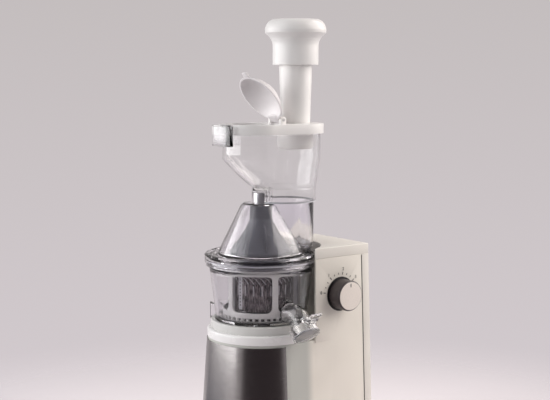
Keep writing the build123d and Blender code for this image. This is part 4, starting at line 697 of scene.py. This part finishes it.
def dial_marks(y, z):
    """Ticks and plain numbers printed round the dial on the right cheek."""
    skin_x = KNOB_ROOT_X - DIAL_SINK
    lean = math.radians(CHEEK_LEAN)
    face = Matrix.Translation((skin_x, y, z)) @ Matrix.Rotation(-lean, 4, "Y") @ DIAL_TURN
    for i in range(10):
        swing = math.radians(DIAL_START - 15 * i)
        long = 1.9 if i % 3 == 0 else 1.2
        spot = face @ Matrix.Rotation(swing, 4, "Z") @ Matrix.Translation((TICK_R, 0, 0))
        solid_box(f"dial_tick_{i + 1}", (-long, -0.45, -0.03), (long, 0.45, 0.04), "print", "base",
                  width=0.02, place=spot)
    for i in range(4):
        swing = math.radians(DIAL_START - 45 * i)
        spot = face @ Matrix.Translation((NUMBER_R * math.cos(swing), NUMBER_R * math.sin(swing), 0))
        printed_number(f"dial_number_{i}", str(i), 6.0, spot)


def printed_number(name, text, height, place):
    curve = bpy.data.curves.new(name, "FONT")
    curve.body = text
    curve.size = height
    curve.extrude = 0.05
    curve.align_x = "CENTER"
    curve.align_y = "CENTER"
    source = bpy.data.objects.new(name + "_text", curve)
    bpy.context.scene.collection.objects.link(source)
    graph = bpy.context.evaluated_depsgraph_get()
    mesh = bpy.data.meshes.new_from_object(source.evaluated_get(graph))
    bpy.data.objects.remove(source)
    verts = [at(*(place @ v.co)) for v in mesh.vertices]
    faces = [tuple(p.vertices) for p in mesh.polygons]
    add_mesh(name, verts, faces, "print", "base")


def rear_seam():
    """Black strip in the seam between the housing and the rear cover, up both cheeks: painted shade for the
    dark gap.
    """
    for side, word in ((1, "right"), (-1, "left")):
        rings = []
        for x, y, z in (SEAM_FOOT, SEAM_HEAD):
            lip, root = x + SEAM_LIP_X, x - SEAM_DEPTH
            proud = x + SEAM_PROUD
            half = [(root, SEAM_TONGUE), (lip, SEAM_TONGUE), (lip, SEAM_HALF), (proud, SEAM_HALF)]
            section = [(px, y - off) for px, off in half] + [(px, y + off) for px, off in half[::-1]]
            rings.append([(side * px, py, z) for px, py in section])
        skin(f"rear_seam_{word}", rings, "black", "base", closed=False)


def base_pieces():
    softened("main_housing", "housing_shell", "housing", "base", 1.4)
    softened("rear_cover", "rear_cover_shell", "cheek", "base", 1.0)
    softened("tower_cap", "tower_cap_shell", "cheek", "base", 2.0)
    front_panel()
    shoulder()
    knob()
    rear_seam()


# ---- Bowl, spout, strainer and brush -------------------------------------------------------------
STRAINER_COLUMNS = 180
FOOT_SEGMENTS = 520
FOOT_POCKETS = 40
FOOT_TEETH = 52
SEAM_TURN = -74.0


def bowl_r(z):
    share = (z - BOWL_FOOT_Z) / (BOWL_RIM_Z - BOWL_FOOT_Z)
    return BOWL_FLOOR_R + share * (BOWL_RIM_R - BOWL_FLOOR_R)


def bowl():
    ledge = BOWL_RIM_Z - 5.0
    haunch = ledge - 8.0
    hub = BOWL_FLOOR_Z + 13.0
    outline = [
        (8.5, BOWL_FOOT_Z),
        (BOWL_FLOOR_R, BOWL_FOOT_Z, 2.0),
        (BOWL_RIM_R, BOWL_RIM_Z, 0.8),
        (BOWL_RIM_R - BOWL_WALL, BOWL_RIM_Z, 0.8),
        (BOWL_RIM_R - BOWL_WALL, ledge, 0.5),
        (bowl_r(ledge) - BOWL_WALL - 5, ledge, 0.8),
        (bowl_r(ledge) - BOWL_WALL - 5, ledge - 3, 1.0),
        (bowl_r(haunch) - BOWL_WALL, haunch, 3.0),
        (bowl_r(BOWL_FLOOR_Z) - BOWL_WALL, BOWL_FLOOR_Z, 4.0),
        (12.0, BOWL_FLOOR_Z, 1.0),
        (12.0, hub, 0.8),
        (8.5, hub, 0.8),
    ]
    wall = lathe("bowl_wall", rounded(outline, 0.6), "clear_bowl", "bowl_set", replaces=["juicing_bowl"])
    carve(wall, (-36, -10, BOWL_FOOT_Z - 1), (-24, 10, BOWL_FLOOR_Z + 1))
    pin = [(0.0, BOWL_FLOOR_Z), (3.0, BOWL_FLOOR_Z), (3.0, BOWL_FLOOR_Z + 6.3), (0.0, BOWL_FLOOR_Z + 6.3)]
    lathe("pinion_pin", rounded(pin, 0.5), "clear_bowl", "bowl_set", centre=(0, 28.5), segments=32)


def strainer_cells():
    """Rows of the basket from its foot: height, columns of twist, and which columns are open."""
    rows = [(2.5, 0, None)]
    for i in range(7):
        rows += [(1.5, 0, (4, 2 * (i % 2))), (1.1, 0, None)]
    rows += [(1.6, 0, None), (14.0, 0, (6, 1)), (2.2, 0, None)]
    for i in range(3):
        rows += [(6.2, 5, (4, 2 * (i % 2))), (1.3, 0, None)]
    rows += [(2.0, 0, None)]
    return rows


def strainer():
    """Steel basket: fine holes at the foot, upright ribs, then slanted slots."""
    rows = strainer_cells()
    fit = (STRAINER_TOP_Z - STRAINER_LOW_Z) / sum(row[0] for row in rows)
    z, twist, count = STRAINER_LOW_Z, 0.0, STRAINER_COLUMNS
    verts, faces = [], []
    levels = [(z, twist)]
    for height, turn, _ in rows:
        z, twist = z + height * fit, twist + turn
        levels.append((z, twist))
    for z, twist in levels:
        for i in range(count):
            angle = 2 * math.pi * (i + twist) / count
            verts.append(at(STRAINER_R * math.cos(angle), STRAINER_R * math.sin(angle), z))
    for level, (_, _, opened) in enumerate(rows):
        for i in range(count):
            if opened and (i + opened[1]) % opened[0] == 0:
                continue
            n, a, b = (i + 1) % count, level * count, (level + 1) * count
            faces.append((a + i, a + n, b + n, b + i))
    basket = add_mesh("strainer_basket", verts, faces, "mesh", "bowl_set", ["strainer_mesh"])
    thicken(basket, 0.9)
    strainer_relief(STRAINER_LOW_Z, fit)


def strainer_bar(name, turn, low, high, slant=0.0, half=0.7, rise=0.42, material="rib"):
    """Slim bar pressed out of the basket; slant turns its top, in degrees, past its foot."""
    rings = []
    for i in range(9):
        share = i / 8
        middle = math.radians(turn + slant * share)
        ease = rise * min(1.0, 4 * share, 4 - 4 * share)
        ring = []
        for side, out in ((-1, 0.0), (-0.6, 0.8), (0, 1.0), (0.6, 0.8), (1, 0.0), (0, -0.4)):
            r, angle = STRAINER_R + ease * out, middle + side * half / STRAINER_R
            ring.append((r * math.cos(angle), r * math.sin(angle), low + (high - low) * share))
        rings.append(ring)
    skin(name, rings, material, "bowl_set", closed=False)


def strainer_relief(low, fit):
    """Upright ribs round the middle, slanted ones above, and the riveted seam of the sheet."""
    middle = low + 22.5 * fit
    for i in range(24):
        strainer_bar(f"strainer_rib_{i + 1}", 15 * i - 4.0, middle + 0.4, middle + 13.6, 0.0, 0.9)
    for i in range(36):
        strainer_bar(f"strainer_ridge_{i + 1}", 10 * i + 2.0, middle + 16.0, STRAINER_TOP_Z - 1.5,
                     -20.0, 0.7)
    strainer_bar("strainer_seam", SEAM_TURN, low + 2, STRAINER_TOP_Z - 2, 0.0, 3.0, 0.3, "silicone")
    for i in range(12):
        z = low + 7 + 4.2 * i
        strainer_bar(f"strainer_rivet_{i + 1}", SEAM_TURN, z, z + 2.2, 0.0, 1.1, 0.6, "black")


def thicken(piece, depth, ease=0.0):
    solid = piece.modifiers.new("wall", "SOLIDIFY")
    solid.thickness = depth * MM
    solid.offset = -1.0
    if ease:
        bevel = piece.modifiers.new("ease", "BEVEL")
        bevel.width = ease * MM
        bevel.segments = 2
        bevel.limit_method = "ANGLE"
        bevel.angle_limit = math.radians(50)
    apply_modifiers(piece)
    finish_mesh(piece)


def window_panel(half_w, half_h, hole_w, hole_h, corner):
    """Matched points of a panel's edge and of its rounded window, as (edge, hole) pairs."""
    pairs = []
    for turn in range(4):
        flip = turn % 2
        a, b = (half_h, half_w) if flip else (half_w, half_h)
        ha, hb = (hole_h, hole_w) if flip else (hole_w, hole_h)
        start = []
        for k in range(1, 12):
            side = -(hb - corner) + 2 * (hb - corner) * k / 12
            start.append(((a, side), (ha, side)))
        for k in range(9):
            swing = math.radians(90 * k / 8)
            hole = (ha - corner + corner * math.cos(swing), hb - corner + corner * math.sin(swing))
            if k <= 4:
                edge = (a, hb - corner + (b - hb + corner) * math.tan(swing))
            else:
                edge = (ha - corner + (a - ha + corner) * math.tan(math.pi / 2 - swing), b)
            start.append((edge, hole))
        c, s = round(math.cos(math.pi / 2 * turn)), round(math.sin(math.pi / 2 * turn))
        pairs += [tuple((c * u - s * v, s * u + c * v) for u, v in pair) for pair in start]
    return pairs


def brush_cage():
    """Turning cage with rounded windows, and its pocketed foot ring with inner teeth."""
    foot = BRUSH_LOW_Z + 6.0
    low, high = foot, BRUSH_TOP_Z
    sector = math.pi / BRUSH_WINDOWS * BRUSH_R
    half_h, hole_w = (high - low) / 2, BRUSH_R * math.radians(31.5)
    pairs = window_panel(sector, half_h, hole_w, half_h - 6, 8.0)
    verts, faces = [], []
    for window in range(BRUSH_WINDOWS):
        middle = math.radians(BRUSH_TURN + 360 / BRUSH_WINDOWS * window)
        base = len(verts)
        for step in range(5):
            for edge, hole in pairs:
                u = edge[0] + (hole[0] - edge[0]) * step / 4
                v = edge[1] + (hole[1] - edge[1]) * step / 4
                angle = middle + u / BRUSH_R
                verts.append(at(BRUSH_R * math.cos(angle), BRUSH_R * math.sin(angle), (low + high) / 2 + v))
        count = len(pairs)
        for step in range(4):
            for k in range(count):
                n, a, b = (k + 1) % count, base + step * count, base + (step + 1) * count
                faces.append((a + k, a + n, b + n, b + k))
    cage = add_mesh("brush_cage", verts, faces, "brush", "brush", ["brush_frame"])
    thicken(cage, 2.4, 0.5)

    lip, root, tip = 0.9, 40.9, 37.8
    outline = [
        (root, BRUSH_LOW_Z),
        (BRUSH_R, BRUSH_LOW_Z),
        (BRUSH_R, BRUSH_LOW_Z + lip),
        (BRUSH_R - 4, BRUSH_LOW_Z + lip),
        (BRUSH_R - 4, foot - lip),
        (BRUSH_R, foot - lip),
        (BRUSH_R, foot),
        (root, foot),
    ]

    def pocket(angle, r, z):
        share = angle / (2 * math.pi)
        if r == root:
            beat = share * FOOT_TEETH % 1.0
            return (tip, z) if beat > 0.55 else (root, z)
        if r == BRUSH_R - 4 and share * FOOT_POCKETS % 1.0 > 0.6:
            return BRUSH_R - 0.02, z
        return r, z

    lathe("brush_foot_ring", outline, "brush", "brush", segments=FOOT_SEGMENTS, wave=pocket)
    # Painted shadow: a black band behind the foot ring's pockets stands for the dark inside seen through
    # them.
    band = [(BRUSH_R - 4.2, BRUSH_LOW_Z + lip), (BRUSH_R - 3.6, BRUSH_LOW_Z + lip),
            (BRUSH_R - 3.6, foot - lip), (BRUSH_R - 4.2, foot - lip)]
    lathe("brush_pocket_shadow_band", band, "black", "brush")


def bowl_pieces():
    bowl()
    softened("juice_spout", "juice_spout_tube", "clear", "bowl_set", 0.5)
    softened("pulp_duct", "pulp_duct_channel", "clear_bowl", "bowl_set", 1.0)
    softened("spout_cap", "spout_cap_shell", "clear", "cap", 0.7)
    softened("strainer_frame", "strainer_hoops", "clear_bowl", "bowl_set", 0.5)
    strainer()
    brush_cage()


# ---- Screw ---------------------------------------------------------------------------------------
SHOULDER_Z = 312.0
SCREW_FOOT_Z = 239.0
SCREW_TOP_Z = 298.0
NECK_END_Z = 373.0
THREAD_PITCH = 48.0
FLARE_STEPS = 14
WING_TURN = math.radians(-25.0)


def core_r(z):
    return 24.0 + 9.0 * (z - SCREW_FOOT_Z) / (SCREW_TOP_Z - SCREW_FOOT_Z)


def screw():
    """Pressing screw: drive gear, threaded body, flared shoulder, neck and cutting wing."""
    gear_low = BRUSH_LOW_Z
    flare = []
    for i in range(1, FLARE_STEPS + 1):
        left = 1 - i / FLARE_STEPS
        flare.append((AUGER_NECK_R + (AUGER_R - AUGER_NECK_R) * left**1.3, SHOULDER_Z + 42 * (1 - left)))
    outline = [
        (12.6, gear_low),
        (16.0, gear_low),
        (16.0, SCREW_FOOT_Z),
        (24.0, SCREW_FOOT_Z, 2.0),
        (33.0, SCREW_TOP_Z, 2.0),
        (AUGER_R, SCREW_TOP_Z + 4, 1.5),
        (AUGER_R, SHOULDER_Z, 1.5),
        *flare,
        (AUGER_NECK_R, NECK_END_Z, 1.0),
        (0.0, NECK_END_Z),
        (0.0, NECK_END_Z - 4),
        (9.0, NECK_END_Z - 8, 1.0),
        (12.0, SHOULDER_Z - 20, 1.0),
        (12.6, gear_low + 14, 0.5),
    ]
    lathe("screw_body", rounded(outline, 0.4), "screw", "screw", replaces=["auger"])
    pin = [(0.0, NECK_END_Z), (6.0, NECK_END_Z), (6.0, SCREW_HIGH.z / MM, 1.0), (0.0, SCREW_HIGH.z / MM)]
    lathe("screw_pin", rounded(pin, 0.3), "silicone", "screw", segments=64)
    screw_thread()
    screw_wing()

    def teeth(angle, r, z):
        beat = abs(angle / (2 * math.pi) * 24 % 1.0 - 0.5) * 2
        lift = min(1.0, max(0.0, (beat - 0.25) / 0.5))
        return (16.1 + 3.2 * lift, z) if r > 15 else (r, z)

    gear = [(13.0, gear_low), (19.3, gear_low), (19.3, gear_low + 6), (13.0, gear_low + 6)]
    lathe("screw_drive_gear", gear, "screw", "screw", segments=24 * 12, wave=teeth)


def screw_thread():
    """Helical thread that winds up round the body."""
    low, high = SCREW_FOOT_Z + 4, SCREW_TOP_Z - 3
    rings = []
    steps = 96
    for i in range(steps + 1):
        z = low + (high - low) * i / steps
        angle = 2 * math.pi * (z - low) / THREAD_PITCH
        root, half = core_r(z) - 1.5, 2.5
        ease = min(1.0, 0.35 + 4 * i / steps, 0.35 + 4 * (steps - i) / steps)
        tip = root + 2 + (AUGER_R - root - 2) * ease
        section = rounded([(root, -half), (tip, -half), (tip, half), (root, half)], 1.2, 3)
        rings.append([(r * math.cos(angle), r * math.sin(angle), z + h) for r, h in section])
    skin("screw_thread", rings, "screw", "screw", closed=False)


def screw_wing():
    """Curved wing that stands on the shoulder and bites food down."""
    low, high = SHOULDER_Z - 3, 352.0
    edge = bezier((AUGER_R - 0.8, low), (AUGER_R - 0.8, low + 16), (AUGER_R - 15, low + 26),
                  (AUGER_NECK_R - 1, high), 24)
    rings = []
    for r, z in [(AUGER_R - 0.8, low)] + edge:
        root = AUGER_NECK_R - 4
        tip = max(r, root + 0.6)
        bend = 5.0 * ((z - low) / (high - low)) ** 1.5
        section = []
        for k in range(9):
            share = k / 8
            half = 2.0 - 0.8 * share**2
            section.append((root + (tip - root) * share, half, share))
        outline = [(r2, h, s) for r2, h, s in section] + [(r2, -h, s) for r2, h, s in section[::-1]]
        turned = Matrix.Rotation(WING_TURN, 3, "Z")
        rings.append([tuple(turned @ Vector((x, y + bend * s * (1 - s) * 2, z))) for x, y, s in outline])
    skin("screw_wing", rings, "screw", "screw", closed=False)


# ---- Lid, hopper, cover and pusher ---------------------------------------------------------------
MOUTH_Y = -10.0
MOUTH_R = 43.0
REAR_Y = 43.0
REAR_R = 45.5
HOPPER_NECK_R = 43.5
SCOOP = 40.0
SCOOP_CURVE = 1.85


def pusher():
    low = low_z("pusher_shaft")
    shaft = [
        (15.6, low + 3),
        (0.0, low + 3),
        (0.0, low),
        (22.8, low, 1.2),
        (22.8, low + 4, 1.0),
        (18.9, low + 4.4, 0.8),
        (22.4, GRIP_LOW_Z),
        (19.4, GRIP_LOW_Z + 0.2),
        (19.4, GRIP_LOW_Z + 14),
        (17.4, GRIP_LOW_Z + 14),
    ]
    lathe("pusher_stem", rounded(shaft, 0.5), "white", "pusher", (0, PUSHER_Y), ["pusher_shaft"])
    crown = GRIP_TOP_Z - 17.5
    neck = GRIP_LOW_Z + 24.0
    waist = bezier((31.0, neck), (31.0, neck + 10), (34.5, crown - 6.5), (GRIP_R - 0.8, crown - 0.6), 14)
    top = bezier((GRIP_R, crown + 0.6), (GRIP_R - 0.8, crown + 10), (GRIP_R - 4, GRIP_TOP_Z - 2),
                 (GRIP_R - 11, GRIP_TOP_Z), 10)
    outline = [
        (19.5, GRIP_LOW_Z, 0.4),
        (31.0, GRIP_LOW_Z, 0.9),
        (31.0, neck),
        *waist,
        *top,
        (20.0, GRIP_TOP_Z + 0.6, 4.0),
        (0.0, GRIP_TOP_Z + 0.9),
        (0.0, GRIP_TOP_Z - 3),
        (GRIP_R - 13, GRIP_TOP_Z - 4, 2.0),
        (GRIP_R - 4, crown, 2.0),
        (28.0, neck, 2.0),
        (28.0, GRIP_LOW_Z + 3, 0.5),
        (19.5, GRIP_LOW_Z + 3, 0.4),
    ]
    lathe("pusher_grip", rounded(outline, 0.3), "white", "pusher", (0, PUSHER_Y), ["pusher_knob"])


def hopper():
    """Clear hopper: round neck beside the lid's boss, curved scoop, tall mouth."""
    wall = 2.6
    low, neck = HOPPER_LOW_Z, HOPPER_LOW_Z + 17.0
    roof = low + 15.5
    y0, r0 = 38.0, HOPPER_NECK_R

    def level(z, reach, inset):
        front_y = 37.0 + (MOUTH_Y - 37.0) * reach
        front_r = (r0 - 1) + (MOUTH_R - r0 + 1) * reach - inset
        back_y = y0 + (REAR_Y - y0) * reach
        back_r = r0 + (REAR_R - r0) * reach - inset
        return hull_ring(z, front_y, front_r, back_y, back_r)

    def notched(ring, keep):
        """Ring pushed back round the boss where it would cut it."""
        result = []
        for x, y, z in ring:
            d = math.hypot(x, y)
            if d < keep and y < 20:
                swing = math.radians(90) * (1 - x / keep)
                x, y = keep * math.cos(swing), keep * math.sin(swing)
            result.append((x, y, z))
        return result

    outer, inner = [], []
    for z in (low, low + 5, low + 10, roof):
        outer.append(notched(level(z, 0.0, 0.0), 13.5))
    outer.append(level(roof, 0.0, 0.0))
    steps = 16
    for i in range(steps + 1):
        swing = math.pi / 2 * i / steps
        reach, rise = math.sin(swing) ** SCOOP_CURVE, SCOOP * (1 - math.cos(swing) ** SCOOP_CURVE)
        outer.append(level(neck + rise, reach, 0.0))
        inner.append(level(neck + 0.8 + rise, reach, wall))
    for k in range(1, 6):
        z = neck + SCOOP + (HOPPER_TOP_Z - neck - SCOOP) * k / 5
        outer.append(level(min(z, HOPPER_TOP_Z - 0.6 * (k == 5)), 1.0, 0.0))
        inner.append(level(z, 1.0, wall))
    outer.append(level(HOPPER_TOP_Z, 1.0, 0.5))
    bottom = [notched(level(z, 0.0, wall), 13.5 + wall) for z in (low, low + 5, roof + wall)]
    inner = bottom + [level(roof + wall, 0.0, wall)] + inner
    skin("hopper_shell", outer + inner[::-1], "clear", "lid_set", ["hopper"])


def head_pieces():
    softened("lower_lid", "lid_dome", "clear_lid", "lid_set", 0.6)
    hopper()
    softened("cover_latch", "latch_loop", "clear_latch", "lid_set", 1.4)
    softened("top_cover", "cover_plate", "white", "lid_set", 1.0)
    softened("feed_flap", "flap_dome", "flap", "flap", 0.5)
    pusher()


# ---- Materials of the rigid nodes that show as they are ------------------------------------------
NODE_FINISH = {
    # The dial ring is black as painted shadow: it stands for the knob's contact shadow on the cheek.
    "black": ["cord_inlet", "bottom_cover", "dial_ring", "speed_control"],
    "rubber": ["feet", "motor_mounts", "shaft_seal", "pulp_plug"],
    "machined": [
        "cover_screws", "bearings", "motor_shaft", "output_shaft", "auger_socket", "cap_pin", "flap_pin",
    ],
    "cast": ["end_bell", "gearbox_plate", "gearbox_lid", "first_carrier", "rotor_core"],
    "dark_can": ["motor_can"],
    "magnet": ["magnets"],
    "board": ["control_board"],
    "nylon": ["cooling_fan", "ring_gear", "brush_pinion"],
    "clear": ["lid_bush"],
    "silicone": ["lid_seal", "cap_seal", "wiper_blades", "hopper_seal"],
}


def paint_nodes():
    finish = {node: key for key, nodes in NODE_FINISH.items() for node in nodes}
    for stage in ("first", "second"):
        for i in range(3):
            finish[f"{stage}_planet_{i + 1}"] = "nylon"
    for node, obj in frame["nodes"].items():
        if obj.hide_render:
            continue
        obj.data.materials.clear()
        obj.data.materials.append(M[finish[node]])


# ---- Floor, backdrop and light -------------------------------------------------------------------
FLOOR_REACH = 3.2
BACKDROP_LOW, BACKDROP_HIGH = -0.3, 0.12
ROOM_LIGHT = 0.32
LAMP_AIM = Vector((0, 0, 0.32))
DARK_CLOTH = (64, 54, 58)


def floor():
    """Pale floor that keeps the shadow and fades into the backdrop."""
    bm = bmesh.new()
    bmesh.ops.create_circle(bm, cap_ends=True, segments=96, radius=FLOOR_REACH)
    mesh = bpy.data.meshes.new("floor")
    bm.to_mesh(mesh)
    bm.free()
    piece = bpy.data.objects.new("floor", mesh)
    bpy.context.scene.collection.objects.link(piece)
    p = Paint("floor_paper", (236, 229, 232), 0.7)
    x, y = p.axis("X"), p.axis("Y")
    away = (x * x + y * y) ** 0.5
    p.set("Base Color", p.blend(p.noise(2.0, 2.0).clamp(0.3, 0.7), (236, 229, 232), (232, 225, 228)))
    p.set("Alpha", away.clamp(0.25, 0.9, 1.0, 0.0))
    mesh.materials.append(p.material)


def world():
    """Plain backdrop for what is seen, even soft light for the rest."""
    made = bpy.data.worlds.new("studio")
    bpy.context.scene.world = made
    made.use_nodes = True
    tree = made.node_tree
    tree.nodes.clear()
    add, link = tree.nodes.new, tree.links.new
    output = add("ShaderNodeOutputWorld")
    mixer = add("ShaderNodeMixShader")
    seen, light = add("ShaderNodeBackground"), add("ShaderNodeBackground")
    path = add("ShaderNodeLightPath")
    coords, split = add("ShaderNodeTexCoord"), add("ShaderNodeSeparateXYZ")
    ramp_node = add("ShaderNodeValToRGB")
    scale = add("ShaderNodeMapRange")
    link(coords.outputs["Generated"], split.inputs[0])
    link(split.outputs["Z"], scale.inputs["Value"])
    scale.inputs["From Min"].default_value = BACKDROP_LOW
    scale.inputs["From Max"].default_value = BACKDROP_HIGH
    link(scale.outputs[0], ramp_node.inputs[0])
    ramp(ramp_node, [(0.0, colour((211, 203, 207))), (1.0, colour((194, 188, 188)))])
    link(ramp_node.outputs[0], seen.inputs["Color"])
    light.inputs["Color"].default_value = colour((236, 234, 238))
    light.inputs["Strength"].default_value = ROOM_LIGHT
    total = None
    for kind in ("Is Camera Ray", "Is Glossy Ray", "Is Transmission Ray"):
        if total is None:
            total = path.outputs[kind]
            continue
        peak = add("ShaderNodeMath")
        peak.operation = "MAXIMUM"
        link(total, peak.inputs[0])
        link(path.outputs[kind], peak.inputs[1])
        total = peak.outputs[0]
    link(total, mixer.inputs[0])
    link(light.outputs[0], mixer.inputs[1])
    link(seen.outputs[0], mixer.inputs[2])
    link(mixer.outputs[0], output.inputs[0])


def softbox(name, bearing, distance, height, width, tall, power, tint_rgb=(255, 255, 255)):
    """Soft area light on a bearing in degrees from +X, aimed at the juicer's middle."""
    data = bpy.data.lights.new(name, "AREA")
    data.shape = "RECTANGLE"
    data.size, data.size_y = width, tall
    data.energy = power
    data.color = colour(tint_rgb)[:3]
    lamp = bpy.data.objects.new(name, data)
    bpy.context.scene.collection.objects.link(lamp)
    lamp.location = polar(bearing, distance, height)
    aim = LAMP_AIM - lamp.location
    lamp.rotation_euler = aim.to_track_quat("-Z", "Y").to_euler()


def reflection_card(name, corners, shade):
    """Card that shows only in reflections."""
    mesh = bpy.data.meshes.new(name)
    mesh.from_pydata([tuple(c) for c in corners], [], [(0, 1, 2, 3)])
    card = bpy.data.objects.new(name, mesh)
    bpy.context.scene.collection.objects.link(card)
    p = Paint(name + "_cloth", shade, 0.9)
    p.set("Roughness", 0.85 + 0.1 * p.noise(30.0))
    mesh.materials.append(p.material)
    card.visible_camera = False
    card.visible_diffuse = False
    card.visible_shadow = False
    card.visible_transmission = False


def polar(bearing, distance, height):
    a = math.radians(bearing)
    return Vector((distance * math.cos(a), distance * math.sin(a), height))


def upright_card(name, start, end, distance, tall, shade):
    corners = [polar(b, distance, z) for b, z in ((start, 0), (end, 0), (end, tall), (start, tall))]
    reflection_card(name, corners, shade)


def floor_card(name, start, end, near, far, shade):
    corners = [polar(b, d, 0.001) for b, d in ((start, near), (start, far), (end, far), (end, near))]
    reflection_card(name, corners, shade)


def studio():
    floor()
    world()
    softbox("key_left", -122, 1.7, 0.75, 2.4, 1.1, 29.0)
    softbox("key_right", 60, 1.9, 1.5, 2.8, 2.2, 66.0, (255, 249, 244))
    softbox("top_fill", -100, 1.2, 1.7, 1.0, 1.0, 4.0)
    upright_card("flag_right", -74, 8, 2.4, 1.9, DARK_CLOTH)
    floor_card("mat_right", -76, 8, 0.2, 2.6, DARK_CLOTH)
    floor_card("mat_left", -165, -108, 0.2, 1.3, (150, 148, 156))


# ---- Making --------------------------------------------------------------------------------------
make_camera()
make_materials()
base_pieces()
bowl_pieces()
screw()
head_pieces()
paint_nodes()
studio()
bpy.context.scene.view_settings.view_transform = "Standard"
bpy.context.scene.cycles.max_bounces = 24
bpy.context.scene.cycles.transmission_bounces = 24
bpy.context.scene.cycles.transparent_max_bounces = 32
